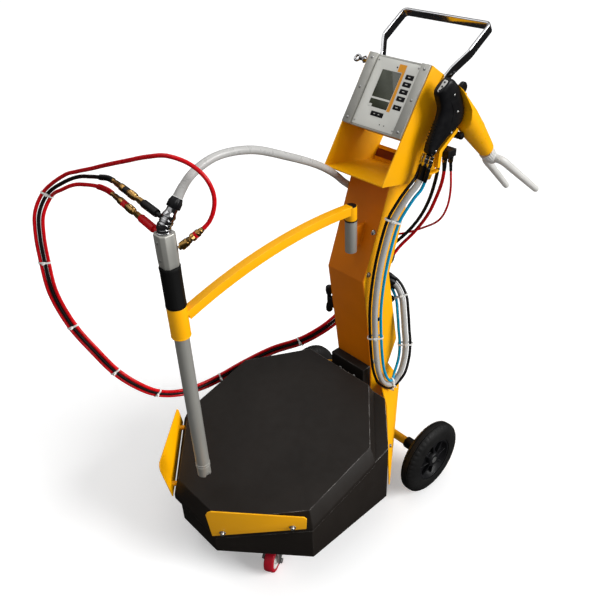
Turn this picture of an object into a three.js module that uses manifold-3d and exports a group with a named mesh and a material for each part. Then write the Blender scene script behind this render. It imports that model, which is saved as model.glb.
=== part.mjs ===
// Mobile powder coating unit: a box-feed trolley with a vibrating platform, a swing arm that carries
// the suction lance, a control unit, a spray gun and its hoses.
// Millimetres, +Z up, +Y to the back (the side with the handle), X across the axle.
// The floor is z = 0 and the trolley's middle plane is x = 0.

import * as THREE from "three";
import { ConvexGeometry } from "three/addons/geometries/ConvexGeometry.js";
import { mergeVertices } from "three/addons/utils/BufferGeometryUtils.js";
import Module from "manifold-3d";

const wasm = await Module();
wasm.setup();

// ---------- driving dimensions ----------
const GAP = 0.3; // left between two pieces that touch
const SHAFT_GAP = 0.05; // round a wheel's shaft
const SHEET = 3; // sheet steel
const ORIGIN_Y = 154.4; // middle of the whole depth, which becomes y = 0

const DECK_SLOPE = 0.265; // the platform and the top of the base rise to the back
const RIM_Z = 242; // rim of the platform at y = 0
const BASE = { front: 295, frontHalf: 64, half: 231, sideFront: 149, sideBack: 96, back: 196, z: 89 };
const RIM = {
  front: 300, frontHalf: 80, half: 238.6, sideFront: 154, sideBack: 43, back: 185, backHalf: 102,
};
const TOP_INSET = 17; // from the rim to the edge of the raised plate
const TOP_RISE = 35;
const LIP = 12; // skirt under the rim
const STOP_LEAN = 0.17; // box stops lean out this much per unit of height

const SPINE = { half: 56, z: 110 };
const SPINE_FOOT = [224, 321]; // y, z of the front face at the foot cover
const SPINE_KNEE = [193, 583]; // foremost fold
const SPINE_TOP = [277, 803];

const HEAD_HALF = 86;
const HEAD_LIP = [217, 822]; // y, z of the shelf's front edge
const HEAD_DEPTH = 155; // square to the control panel
const PANEL_FOOT = [272, 907.5]; // y, z of the panel's lower edge
const PANEL_LENGTH = 158;
const PANEL_TILT = Math.atan2(0.822, 0.569); // from the horizontal
const PANEL_HALF = 82.5;
const POCKET_HALF = 59.5; // the front plate sits in it, between the flanges
const KEY = { x: 41, w: 21, h: 10, rows: [124.3, 109, 93.5, 78, 59] };
const FAR = 400; // beyond the trolley: reach of the cutting tools

const AXLE = { y: 264, z: 98, tube: 11, shaft: 8 };
const WHEEL = { x: 225.5, radius: 98, width: 40, hub: 58 };
const CASTER = { x: 124.4, y: -174.5, radius: 31, width: 24, trail: 20, turn: 208.7, pinRadius: 4 };

const SLEEVE = { x: 17, y: 195, radius: 13.5, bore: 10, z: [650, 729] }; // upright bearing of the swing arm
const LANCE = { x: 0, y: -257, radius: 15 };
const ARM_SIZE = 20; // square tube
const BOSS_TOP = 763;
const SOCKET = { radius: 19.5, z: [648, 717] }; // the lance slides in it
const CREST = { reach: 67, z: 757, radius: 1040 }; // highest point of the bent bar
const LANCE_FOOT = 268; // z of the open end
const GRIP_RADIUS = 20;
const BLOCK_Z = [805, 872]; // pump block above the grip
const INJECTOR_LEAN = 0.7;
const COUPLINGS = {
  black: { from: [-14, -249, 895], to: [-172, -248, 914] },
  red: { from: [-18, -258, 866], to: [-172, -255, 890] },
  air: { from: [15.8, -241.2, 840], to: [38, -201, 871] },
};

const GUN_AT = [120, 347.5, 1002.5]; // middle of the rear cap
const GUN_YAW = 10.9;
const GUN_PITCH = 47.1;
const BARREL_DROP = 0.07; // the barrel points a little below the gun's own axis
const NOZZLE_ROLL = 0.26;
const NOZZLE_RISE = 0.067;
const GUN_OUTLETS = [{ x: -12, radius: 5 }, { x: 0, radius: 8.5 }, { x: 12, radius: 5 }]; // under the grip
const PEG = { y: 405.3, z: 890, end: 142 }; // the gun hangs on it
const OUTLETS = [[116, 384], [102, 381], [125, 393]]; // x, y of the hose outlets on the head

const degrees = Math.PI / 180;

// ---------- finishes ----------
const finish = (color, roughness, metalness = 0) =>
  new THREE.MeshStandardMaterial({ color, roughness, metalness });
const yellowPaint = () => finish(0xf2a900, 0.38);
const orangePaint = () => finish(0xdb8a00, 0.42);
const brownPaint = () => finish(0x2b2622, 0.5);
const blackPlastic = () => finish(0x151517, 0.45);
const rubber = () => finish(0x1c1b1a, 0.8);
const aluminium = () => finish(0xb4b4b0, 0.35, 0.9);
const chrome = () => finish(0xd8d8dc, 0.12, 1);
const brass = () => finish(0xc09040, 0.3, 1);
const whitePlastic = () => finish(0xe8e4dc, 0.4);

// ---------- geometry helpers ----------
function solid(geometry) {
  const bare = geometry.clone();
  bare.deleteAttribute("normal");
  bare.deleteAttribute("uv");
  const merged = mergeVertices(bare, 1e-4);
  const triVerts = merged.index
    ? new Uint32Array(merged.index.array)
    : Uint32Array.from({ length: merged.attributes.position.count }, (_, i) => i);
  const vertProperties = new Float32Array(merged.attributes.position.array);
  return new wasm.Manifold(new wasm.Mesh({ numProp: 3, vertProperties, triVerts }));
}

function geometryOf(manifold) {
  const mesh = manifold.getMesh();
  const geometry = new THREE.BufferGeometry();
  geometry.setAttribute("position", new THREE.BufferAttribute(new Float32Array(mesh.vertProperties), 3));
  geometry.setIndex(new THREE.BufferAttribute(new Uint32Array(mesh.triVerts), 1));
  geometry.computeVertexNormals();
  return geometry;
}

const join = (...geometries) =>
  geometryOf(geometries.slice(1).reduce((sum, g) => sum.add(solid(g)), solid(geometries[0])));
const cut = (geometry, ...tools) =>
  geometryOf(tools.reduce((rest, tool) => rest.subtract(solid(tool)), solid(geometry)));

const outline = (points) => new THREE.Shape(points.map(([x, y]) => new THREE.Vector2(x, y)));

// A flat outline in x, y, from z0 to z1.
const prism = (points, z0, z1) =>
  new THREE.ExtrudeGeometry(outline(points), { depth: z1 - z0, bevelEnabled: false }).translate(0, 0, z0);

// An outline in y, z, from x0 to x1.
const SIDE_VIEW = new THREE.Matrix4().set(0, 0, 1, 0, 1, 0, 0, 0, 0, 1, 0, 0, 0, 0, 0, 1);
const sidePrism = (points, x0, x1) => prism(points, x0, x1).applyMatrix4(SIDE_VIEW);

function block(x0, x1, y0, y1, z0, z1) {
  return new THREE.BoxGeometry(x1 - x0, y1 - y0, z1 - z0)
    .translate((x0 + x1) / 2, (y0 + y1) / 2, (z0 + z1) / 2);
}

// A solid of revolution about Z: points are radius, z.
function turned(points, sides = 20) {
  const profile = points.map(([r, z]) => new THREE.Vector2(r, z));
  return new THREE.LatheGeometry(profile, sides).rotateX(Math.PI / 2);
}

const rod = (radius, z0, z1, sides = 16) => turned([[0, z0], [radius, z0], [radius, z1], [0, z1]], sides);
const ring = (inner, outer, z0, z1, sides = 24) =>
  turned([[inner, z0], [outer, z0], [outer, z1], [inner, z1], [inner, z0]], sides);
const alongX = (geometry) => geometry.rotateY(Math.PI / 2);
const alongY = (geometry) => geometry.rotateX(-Math.PI / 2);

function hull(points) {
  return new ConvexGeometry(points.map(([x, y, z]) => new THREE.Vector3(x, y, z)));
}

// A round tube or hose along hand-placed points.
function hose(points, diameter, sides = 8) {
  const places = points.map(([x, y, z]) => new THREE.Vector3(x, y, z));
  const path = new THREE.CatmullRomCurve3(places, false, "centripetal");
  const corners = Array.from({ length: sides }, (_, i) => {
    const angle = (2 * Math.PI * i) / sides;
    return [(diameter / 2) * Math.cos(angle), (diameter / 2) * Math.sin(angle)];
  });
  const steps = Math.min(80, Math.ceil(path.getLength() / (diameter * 2.5)));
  return new THREE.ExtrudeGeometry(outline(corners), { extrudePath: path, steps, bevelEnabled: false });
}

// A flat bar swept along points: wide across `side`, thin across the bend.
function bar(points, side, width, thickness) {
  const across = new THREE.Vector3(...side).normalize();
  const path = points.map((p) => new THREE.Vector3(...p));
  const vertices = [];
  path.forEach((point, i) => {
    const before = path[Math.max(i - 1, 0)];
    const after = path[Math.min(i + 1, path.length - 1)];
    const along = after.clone().sub(before).normalize();
    const up = new THREE.Vector3().crossVectors(along, across).normalize();
    for (const [a, b] of [[1, 1], [-1, 1], [-1, -1], [1, -1]]) {
      const corner = point.clone().addScaledVector(across, (a * width) / 2);
      vertices.push(...corner.addScaledVector(up, (b * thickness) / 2).toArray());
    }
  });
  const index = [0, 2, 1, 0, 3, 2];
  const last = 4 * (path.length - 1);
  index.push(last, last + 1, last + 2, last, last + 2, last + 3);
  for (let i = 0; i < path.length - 1; i++) {
    for (let k = 0; k < 4; k++) {
      const [a, b] = [4 * i + k, 4 * i + ((k + 1) % 4)];
      index.push(a, b, a + 4, b, b + 4, a + 4);
    }
  }
  const geometry = new THREE.BufferGeometry();
  geometry.setAttribute("position", new THREE.Float32BufferAttribute(vertices, 3));
  geometry.setIndex(index);
  return geometry;
}

// ---------- the model ----------
const model = new THREE.Group();
model.position.set(0, -ORIGIN_Y, 0);

function add(name, geometry, material, parent = model) {
  const mesh = new THREE.Mesh(geometry, material);
  mesh.name = name;
  parent.add(mesh);
  return mesh;
}

const deck = (y, above = 0) => RIM_Z + DECK_SLOPE * y + above;
const aboveDeck = (above) => sidePrism([
  [-FAR, deck(-FAR, above)], [FAR, deck(FAR, above)], [FAR, 2 * FAR], [-FAR, 2 * FAR],
], -FAR, FAR);

// ---------- base housing ----------
function addBase() {
  const { front, frontHalf, half, sideFront, sideBack, back, z } = BASE;
  const backHalf = half - (back - sideBack);
  const ringOf = (inset) => [
    [frontHalf - inset / 2, -front + inset], [half - inset, -sideFront + inset / 2],
    [half - inset, sideBack - inset / 2], [backHalf - inset / 2, back - inset],
    [-backHalf + inset / 2, back - inset], [-half + inset, sideBack - inset / 2],
    [-half + inset, -sideFront + inset / 2], [-frontHalf + inset / 2, -front + inset],
  ];
  const top = -LIP - SHEET;
  const outer = cut(prism(ringOf(0), z, FAR), aboveDeck(top));
  const inner = cut(prism(ringOf(SHEET), z + SHEET, FAR), aboveDeck(top - SHEET));
  const opening = block(-90, 90, -120, 60, z + 40, FAR); // where the vibrator hangs through
  add("base_housing", cut(outer, inner, opening), brownPaint());
}

// ---------- vibrating platform ----------
function addPlatform() {
  const { front, frontHalf, half, sideFront, sideBack, back, backHalf } = RIM;
  const corners = (inset, above) => [
    [frontHalf, -front + inset], [half - inset, -sideFront + inset * 0.4], [half - inset, sideBack],
    [backHalf, back - inset], [-backHalf, back - inset], [-half + inset, sideBack],
    [-half + inset, -sideFront + inset * 0.4], [-frontHalf, -front + inset],
  ].map(([x, y]) => [x, y, deck(y, above)]);
  const outer = hull([...corners(0, -LIP), ...corners(0, 0), ...corners(TOP_INSET, TOP_RISE)]);
  const inner = hull([
    ...corners(SHEET, -LIP - 5), ...corners(SHEET, -1), ...corners(TOP_INSET + 2, TOP_RISE - SHEET),
  ]);
  add("platform_lid", cut(outer, inner), brownPaint());

  // unbalance motor under the lid, on a foot that meets the plate
  const drum = alongX(rod(42, -70, 70, 24)).translate(0, -30, deck(-30, -42));
  const foot = block(-45, 45, -75, 15, deck(-30, -30), FAR);
  const motor = cut(join(drum, foot), aboveDeck(TOP_RISE - SHEET - GAP));
  add("vibration_motor", motor, finish(0x6d7276, 0.6, 0.6));

  // two stops that lean outwards and guide a square powder box into place
  const rim = new THREE.Vector2(half - frontHalf, front - sideFront);
  const [length, angle] = [rim.length(), rim.angle()];
  const place = (along, up, out) => [
    frontHalf + along * Math.cos(angle) + (out + STOP_LEAN * up) * Math.sin(angle),
    -front + along * Math.sin(angle) - (out + STOP_LEAN * up) * Math.cos(angle),
    deck(-front + along * Math.sin(angle), up),
  ];
  const shape = [
    [-7, 4], [length - 14, 3], [length - 11, 42], [length - 16, 50], [4, 104], [-4, 101], [-9, 92],
  ];
  const plate = hull([0.5, 0.5 + SHEET].flatMap((out) => shape.map(([along, up]) => place(along, up, out))));
  const spacers = [18, length - 42].map((along) =>
    alongX(rod(6, -15, 1)).rotateZ(angle - Math.PI / 2).translate(...place(along, 16, 1)));
  const lidSpace = hull([
    ...corners(-0.4, -LIP), ...corners(-0.4, 0.4), ...corners(TOP_INSET - 0.4, TOP_RISE + 0.4),
  ]);
  const stop = cut(join(plate, ...spacers), lidSpace);
  add("box_stop_right", stop, yellowPaint());
  add("box_stop_left", mirrored(stop), yellowPaint());
}

// Turns the faces of a mirrored geometry back out.
function flipped(geometry) {
  const bare = geometry.index ? geometry.toNonIndexed() : geometry;
  const { position } = bare.attributes;
  for (let i = 0; i < position.count; i += 3) {
    for (const axis of ["X", "Y", "Z"]) {
      const second = position[`get${axis}`](i + 1);
      position[`set${axis}`](i + 1, position[`get${axis}`](i + 2));
      position[`set${axis}`](i + 2, second);
    }
  }
  bare.computeVertexNormals();
  return bare;
}

const mirrored = (geometry) =>
  flipped(geometry.clone().applyMatrix4(new THREE.Matrix4().makeScale(-1, 1, 1)));

// ---------- spine and chassis plates ----------
const floorZ = (y) => HEAD_LIP[1] - 0.217 * (y - HEAD_LIP[0]); // top of the shelf

function addSpine() {
  const { half, z } = SPINE;
  const front = [[SPINE_FOOT[0], z], SPINE_FOOT, SPINE_KNEE, SPINE_TOP];
  const behind = front.map(([y, h]) => [y + SHEET, h]).reverse();
  const plate = sidePrism([...front, ...behind], -half, half);

  // web that holds the arm's bearing clear of the folded front
  const [foot, top] = SLEEVE.z;
  const behindSleeve = SLEEVE.y + SLEEVE.radius + GAP;
  const web = block(SLEEVE.x - 4, SLEEVE.x + 4, behindSleeve, 270, foot + 8, top - 22);
  const room = sidePrism([
    [SPINE_KNEE[0] + 1, SPINE_KNEE[1]], [SPINE_TOP[0] + 1, SPINE_TOP[1]],
    [FAR, SPINE_TOP[1]], [FAR, SPINE_KNEE[1]],
  ], -half, half);
  add("spine_front", join(plate, cut(web, room)), orangePaint());

  const inside = (y) => y + SHEET + GAP;
  const side = [
    [inside(SPINE_FOOT[0]), z], [inside(SPINE_FOOT[0]), SPINE_FOOT[1]],
    [inside(SPINE_KNEE[0]), SPINE_KNEE[1]], [inside(SPINE_TOP[0]) - 1, 800],
    [350, floorZ(350) - 4], [334, 724], [283, 568], [321, 356],
    [292, 292], [335, 222], [341, 187], [322, 117], [306, 84], [300, 72], [250, 72],
  ];
  // gusset that leans back from the side plate to the rear corner of the base
  const bend = [half - SHEET / 2, 338, 187];
  const edge = [[231, 101, 126], [172, 157, 236], [131, 200, 252], [half - SHEET / 2, 262, 250]];
  const facing = [0.81, 0.57, 0.15];
  const pushed = (point) => point.map((value, axis) => value + SHEET * facing[axis]);
  const facets = edge.slice(1).map((corner, i) => {
    const flat = [bend, edge[i], corner];
    return hull([...flat, ...flat.map(pushed)]);
  });
  const right = cut(
    join(sidePrism(side, half - SHEET, half), ...facets),
    alongX(rod(AXLE.tube + GAP, 0, FAR)).translate(0, AXLE.y, AXLE.z),
  );
  add("side_plate_right", right, yellowPaint());
  add("side_plate_left", mirrored(right), yellowPaint());
  add("foot_cover", block(-half, half, 198.5, SPINE_FOOT[0] - GAP, 150, SPINE_FOOT[1]), blackPlastic());
}

// ---------- head housing and control unit ----------
const panelPoint = (along, out) => [
  PANEL_FOOT[0] + along * Math.cos(PANEL_TILT) - out * Math.sin(PANEL_TILT),
  PANEL_FOOT[1] + along * Math.sin(PANEL_TILT) + out * Math.cos(PANEL_TILT),
];

function addHead() {
  const corners = [
    HEAD_LIP, panelPoint(PANEL_LENGTH, 0), panelPoint(PANEL_LENGTH, -HEAD_DEPTH), [378, floorZ(378)],
  ];
  const backFoot = [378, floorZ(378) - SHEET];
  const frontFoot = [HEAD_LIP[0], HEAD_LIP[1] - SHEET];
  const cheek = sidePrism(corners, HEAD_HALF - SHEET, HEAD_HALF);
  const floor = sidePrism([HEAD_LIP, [378, floorZ(378)], backFoot, frontFoot], -HEAD_HALF, HEAD_HALF);
  const lip = sidePrism([
    [376, floorZ(378)], [396, floorZ(378) + 30], [399, floorZ(378) + 28], [379, floorZ(378) - SHEET],
  ], -HEAD_HALF, HEAD_HALF);
  const reach = sidePrism([...corners.slice(0, 3), backFoot, frontFoot], -HEAD_HALF, HEAD_HALF);
  const trimmed = geometryOf(solid(lip).intersect(solid(reach)));
  add("head_housing", join(cheek, mirrored(cheek), floor, trimmed), yellowPaint());
}

function addControlUnit() {
  const unit = new THREE.Group();
  unit.position.set(0, ...PANEL_FOOT);
  unit.rotation.x = PANEL_TILT;
  model.add(unit);

  // aluminium housing: a rear box, a front frame and raised flanges left and right
  const frame = block(-PANEL_HALF, PANEL_HALF, 0, PANEL_LENGTH, -14, -3);
  const rearBox = block(-78, 78, 8, 150, -85, -13);
  const flange = block(POCKET_HALF + 0.5, PANEL_HALF, 0, PANEL_LENGTH, -4, 3);
  const pocket = block(-POCKET_HALF, POCKET_HALF, 4, 154, -8, 5);
  add("control_case", cut(join(frame, rearBox, flange, mirrored(flange)), pocket), aluminium(), unit);

  const { x: keyX, w: keyWidth, h: keyHeight, rows } = KEY;
  const keys = rows.map((y, i) => ({ name: `key_${i + 1}`, x: keyX, y, w: keyWidth, h: keyHeight }));
  keys.push({ name: "key_wide", x: -2, y: 35, w: 34, h: 10 });
  const holes = keys.map(({ x, y, w, h }) => block(x - w / 2, x + w / 2, y - h / 2, y + h / 2, -20, 5));
  const window = block(-35, 17, 48, 129, -3.8, 5);
  const plate = block(GAP - POCKET_HALF, POCKET_HALF - GAP, 4.3, 153.7, -7.7, -2);
  add("control_panel", cut(plate, window, ...holes), finish(0xcfd0c8, 0.5), unit);
  add("display_screen", block(-34.7, 16.7, 48.3, 128.7, -3.5, -2.2), finish(0x39403c, 0.15), unit);
  for (const { name, x, y, w, h } of keys) {
    const side = w / 2 - GAP;
    add(name, block(x - side, x + side, y - h / 2 + GAP, y + h / 2 - GAP, -5.5, -0.8), blackPlastic(), unit);
  }
}

// ---------- push handle ----------
function addHandle() {
  const half = 115;
  const bend = 22;
  const leg = [[89.6, 388, 986], [89.6, 404, 1004], [95, 416, 1018], [115, 442, 1048], [half, 492, 1079]];
  const arc = [0, 1, 2, 3, 4].map((i) => {
    const angle = (i / 4) * (Math.PI / 2);
    const [across, up] = [bend * Math.cos(angle), bend * Math.sin(angle)];
    return [half - bend + across, 492 + up * 0.85, 1079 + up * 0.52];
  });
  const right = [...leg.slice(0, -1), ...arc];
  const left = right.map(([x, y, z]) => [-x, y, z]).reverse();
  add("push_handle", bar([...right, ...left], [0, -0.52, 0.85], 20, 6), chrome());
}

// ---------- axle and rear wheels ----------
function addWheels() {
  const { y, z, tube, shaft } = AXLE;
  const inner = WHEEL.x - WHEEL.width / 2;
  const profile = [
    [0, -inner + 4], [tube, -inner + 4], [tube, inner - 4], [0, inner - 4],
  ];
  const stub = alongX(rod(shaft, -WHEEL.x - 16, WHEEL.x + 16));
  add("axle", join(alongX(turned(profile, 16)), stub).translate(0, y, z), yellowPaint());
  for (const [name, side] of [["left", -1], ["right", 1]]) {
    const [r, w] = [WHEEL.radius, WHEEL.width / 2];
    const rounded = turned([
      [WHEEL.hub, -w], [r - 14, -w], [r - 4, -w + 7], [r, -w + 14], [r, w - 14], [r - 4, w - 7],
      [r - 14, w], [WHEEL.hub, w], [WHEEL.hub, -w],
    ], 36);
    add(`wheel_tyre_${name}`, alongX(rounded).translate(side * WHEEL.x, y, z), rubber());
    const edge = WHEEL.hub - GAP;
    const bore = shaft + SHAFT_GAP;
    const hub = turned([
      [bore, -w], [20, -w], [22, -8], [edge, -8], [edge, 8], [22, 8], [20, w], [bore, w], [bore, -w],
    ], 36);
    add(`wheel_hub_${name}`, alongX(hub).translate(side * WHEEL.x, y, z), blackPlastic());
  }
}

// ---------- front casters ----------
function addCasters() {
  const { x, y, radius, width, trail, turn, pinRadius } = CASTER;
  const bore = pinRadius + SHAFT_GAP;
  const slant = Math.atan2(BASE.front - BASE.sideFront, BASE.half - BASE.frontHalf); // front corners
  for (const [name, side] of [["left", -1], ["right", 1]]) {
    const caster = new THREE.Group();
    caster.position.set(side * x, y, 0);
    caster.rotation.z = side * turn * degrees;
    model.add(caster);
    const top = BASE.z - GAP;
    const flange = join(block(-30, 30, -30, 30, top - 3, top), rod(14, top - 9, top - 2, 20));
    const plate = add(`caster_plate_${name}`, flange, finish(0x9a9b9c, 0.35, 0.9));
    plate.position.set(side * x, y, 0);
    plate.rotation.z = side * slant;
    const crown = block(-19, 19, -19, 19 + trail * 0.2, top - 14.5, top - 11.5);
    const race = rod(17, top - 12, top - 9 - GAP, 20);
    const cheek = hull([16, 19].flatMap((h) => [
      [h, -17, top - 13], [h, 19, top - 13], [h, trail + 9, radius + 3], [h, trail + 5, radius - 9],
      [h, trail - 6, radius - 8], [h, trail - 9, radius + 3],
    ]));
    const pin = alongX(rod(pinRadius, -22, 22)).translate(0, trail, radius);
    const fork = join(crown, race, cheek, mirrored(cheek), pin);
    add(`caster_fork_${name}`, fork, finish(0x8d8f92, 0.35, 0.9), caster);
    const [r, w] = [radius, width / 2];
    const wheel = turned([
      [bore, -w - 2], [9, -w - 2], [10, -w], [r - 3, -w], [r, -w + 3], [r, w - 3], [r - 3, w],
      [10, w], [9, w + 2], [bore, w + 2], [bore, -w - 2],
    ], 28);
    add(`caster_wheel_${name}`, alongX(wheel).translate(0, trail, radius), finish(0xb01030, 0.5), caster);
  }
}

// ---------- swing arm ----------
function addArm() {
  const reach = Math.hypot(LANCE.x - SLEEVE.x, LANCE.y - SLEEVE.y);
  const arm = new THREE.Group();
  arm.position.set(SLEEVE.x, SLEEVE.y, 0);
  arm.rotation.z = Math.atan2(LANCE.x - SLEEVE.x, SLEEVE.y - LANCE.y);
  model.add(arm);
  const bend = Array.from({ length: 15 }, (_, i) => {
    const angle = (-CREST.reach + 5 + ((reach - 15) * i) / 14) / CREST.radius;
    return [0, -CREST.reach - CREST.radius * Math.sin(angle), CREST.z - CREST.radius * (1 - Math.cos(angle))];
  });
  const sweep = bar(bend, [1, 0, 0], ARM_SIZE, ARM_SIZE);
  const [foot, top] = SLEEVE.z;
  const boss = rod(SLEEVE.radius, top + GAP, BOSS_TOP, 28);
  const stub = rod(SLEEVE.bore - 0.15, foot + 10, top + 5, 28); // turns inside the bearing
  const socket = rod(SOCKET.radius, ...SOCKET.z, 28).translate(0, -reach, 0);
  const bore = rod(LANCE.radius + GAP, 0, 2 * FAR, 28).translate(0, -reach, 0);
  add("swing_arm", cut(join(sweep, boss, stub, socket), bore), yellowPaint(), arm);
  add("arm_bearing", ring(SLEEVE.bore, SLEEVE.radius, foot, top, 28), aluminium(), arm);
}

// ---------- suction lance ----------
function addLance() {
  const lance = new THREE.Group();
  lance.position.set(LANCE.x, LANCE.y, 0);
  model.add(lance);
  const [blockFoot, blockTop] = BLOCK_Z;
  const tube = ring(LANCE.radius - 2, LANCE.radius, LANCE_FOOT, blockFoot - 14, 24);
  const notch = block(-20, 20, -6, 6, LANCE_FOOT - 9, LANCE_FOOT + 12);
  add("suction_tube", cut(tube, notch), aluminium(), lance);
  add("lance_grip", ring(LANCE.radius + GAP, GRIP_RADIUS, SOCKET.z[1] + GAP, blockFoot, 24), rubber(), lance);
  const corners = [[-17, -10], [-10, -17], [10, -17], [17, -10], [17, 10], [10, 17], [-10, 17], [-17, 10]];
  const body = hull([blockFoot + GAP, blockTop].flatMap((h) => corners.map(([x, y]) => [x, y, h])));
  add("pump_block", cut(body, rod(9, blockFoot - 14, blockFoot + 36)), finish(0x8a8a86, 0.45, 0.8), lance);

  // injector: an upright neck and a barrel that leans back towards the column
  const neck = rod(12, blockTop + GAP, blockTop + 16, 20);
  const lean = new THREE.Matrix4().makeRotationX(-INJECTOR_LEAN).setPosition(0, 0, blockTop + 9);
  const barrel = turned([[0, 0], [12.5, 0], [13, 10], [12, 26], [10, 32], [10, 38], [0, 38]], 20);
  const under = block(-30, 30, -30, 30, blockTop - 30, blockTop + 1);
  add("injector_body", join(neck, cut(barrel.applyMatrix4(lean), under)), chrome(), lance);
  add("hose_nut", ring(8.4, 13, 38 + GAP, 58, 12).applyMatrix4(lean), blackPlastic(), lance);
}

// ---------- quick couplings ----------
function addCouplings() {
  for (const [name, { from, to }] of Object.entries(COUPLINGS)) {
    const [start, end] = [new THREE.Vector3(...from), new THREE.Vector3(...to)];
    const length = start.distanceTo(end);
    const profile = [
      [0, 0], [4.5, 0], [4.5, 0.08], [8, 0.08], [8, 0.36], [6.5, 0.4], [6.5, 0.8], [5, 0.84], [5, 1], [0, 1],
    ];
    const body = turned(profile.map(([r, t]) => [r, t * length]), 16);
    const direction = end.clone().sub(start).normalize();
    const aim = new THREE.Quaternion().setFromUnitVectors(new THREE.Vector3(0, 0, 1), direction);
    body.applyQuaternion(aim).translate(...from);
    add(`coupling_${name}`, body, brass());
  }
}

// ---------- spray gun ----------
// Gun frame: +Y along the barrel, +Z out of its top, origin in the middle of the rear cap.
function addGun() {
  const gun = new THREE.Group();
  gun.position.set(...GUN_AT);
  gun.rotation.set(-GUN_PITCH * degrees, 0, -GUN_YAW * degrees, "ZXY");
  model.add(gun);
  const body = rounded([
    [0, -12], [-5, 4], [0, 21], [14, 30], [20, 32], [84, 13], [110, -16], [96, -22], [93, -82],
    [93, -106], [74, -112], [62, -94], [37, -36], [18, -24],
  ], 13, 4);
  const down = new THREE.Matrix4().makeRotationX(Math.PI + 0.5);
  const outlets = GUN_OUTLETS.map(({ x, radius }) =>
    rod(radius, 0, 30, 12).applyMatrix4(down.clone().setPosition(x, 82, -104)));
  add("gun_body", join(body, ...outlets), blackPlastic(), gun);
  const side = [
    [24, 33], [60, 37], [142, 30], [222, 11], [222, -27], [160, -26], [112.6, -24],
    [111.2, -15.8], [84.6, 14],
  ];
  const cone = alongY(turned([[0, 20], [25, 20], [27, 110], [25, 150], [18, 222], [0, 222]], 24));
  cone.applyMatrix4(new THREE.Matrix4().makeRotationX(-BARREL_DROP).setPosition(0, 0, 10));
  const shell = geometryOf(solid(sidePrism(side, -30, 30)).intersect(solid(cone)));
  add("gun_barrel", shell, yellowPaint(), gun);

  // fork nozzle, turned a little round the barrel
  const nozzle = new THREE.Matrix4().makeRotationX(NOZZLE_RISE).setPosition(0, 224, -9);
  nozzle.multiply(new THREE.Matrix4().makeRotationY(-NOZZLE_ROLL));
  const stem = alongY(rod(15, 0, 40, 20));
  const yoke = alongX(rod(10, -25, 25, 12)).translate(0, 42, 0);
  const prongs = [-1, 1].map((hand) =>
    alongY(rod(8, 0, 146, 12)).rotateZ(-hand * 0.128).translate(hand * 22.5, 40, 0));
  add("gun_nozzle", join(stem, yoke, ...prongs).applyMatrix4(nozzle), whitePlastic(), gun);

  const trigger = sidePrism([
    [100, -27], [108, -27], [106, -82], [131, -110], [125, -117], [98.5, -86],
  ], -7, 7);
  add("gun_trigger", trigger, yellowPaint(), gun);
}

// A side outline in y, z with rounded flanks, `half` wide to each side.
function rounded(points, half, bevel) {
  const options = {
    depth: 2 * (half - bevel), bevelEnabled: true, bevelThickness: bevel, bevelSize: bevel,
    bevelOffset: -bevel, bevelSegments: 2,
  };
  const flat = new THREE.ExtrudeGeometry(outline(points), options);
  return flat.translate(0, 0, bevel - half).applyMatrix4(SIDE_VIEW);
}

// ---------- fittings on the head and the column ----------
function addFittings() {
  // peg in the crook between the gun's grip and barrel
  const peg = alongX(rod(7.5, HEAD_HALF + GAP, PEG.end));
  const flange = alongX(rod(16, HEAD_HALF + GAP, HEAD_HALF + 5));
  add("gun_peg", join(peg, flange).translate(0, PEG.y, PEG.z), blackPlastic());

  // clamp screws of the control unit: an eye on the left and a disc on the right
  const eye = alongX(rod(4, -128, -HEAD_HALF - GAP, 12));
  const loop = ring(4, 9.5, -3, 3, 16).rotateX(45 * degrees).translate(-135, 0, 0);
  add("eye_screw", join(eye, loop).translate(0, 375, 1013), chrome());
  const stem = alongX(rod(4.5, HEAD_HALF + GAP, 114, 12));
  const disc = alongX(rod(13, 113, 122, 20));
  add("disc_screw", join(stem, disc).translate(0, 424, 984), blackPlastic());

  // cleat for the mains lead on the left of the column
  const foot = block(-80, -SPINE.half - GAP, 214, 230, 452, 468);
  const upper = block(-88, -76, 208, 226, 460, 504);
  const lower = block(-88, -76, 208, 226, 428, 460);
  add("lead_cleat", join(foot, upper, lower), blackPlastic());

  // hose outlets on the right cheek of the head
  const port = ([x, y]) => rod(6, 838, 852, 12).translate(x, y, 0);
  const body = block(HEAD_HALF + GAP, 132, 374, 402, 846, 862);
  add("hose_outlets", join(body, ...OUTLETS.map(port)), aluminium());
}

// ---------- hoses ----------
// Runs a second hose beside a first one, `distance` away at `angle` round it.
function beside(points, distance, angle) {
  const path = points.map((p) => new THREE.Vector3(...p));
  return path.map((point, i) => {
    const along = path[Math.min(i + 1, path.length - 1)].clone().sub(path[Math.max(i - 1, 0)]).normalize();
    const side = new THREE.Vector3().crossVectors(along, new THREE.Vector3(...SIDEWAYS)).normalize();
    const up = new THREE.Vector3().crossVectors(side, along);
    const offset = side.multiplyScalar(Math.cos(angle)).addScaledVector(up, Math.sin(angle));
    return point.clone().addScaledVector(offset, distance).toArray();
  });
}

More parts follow.
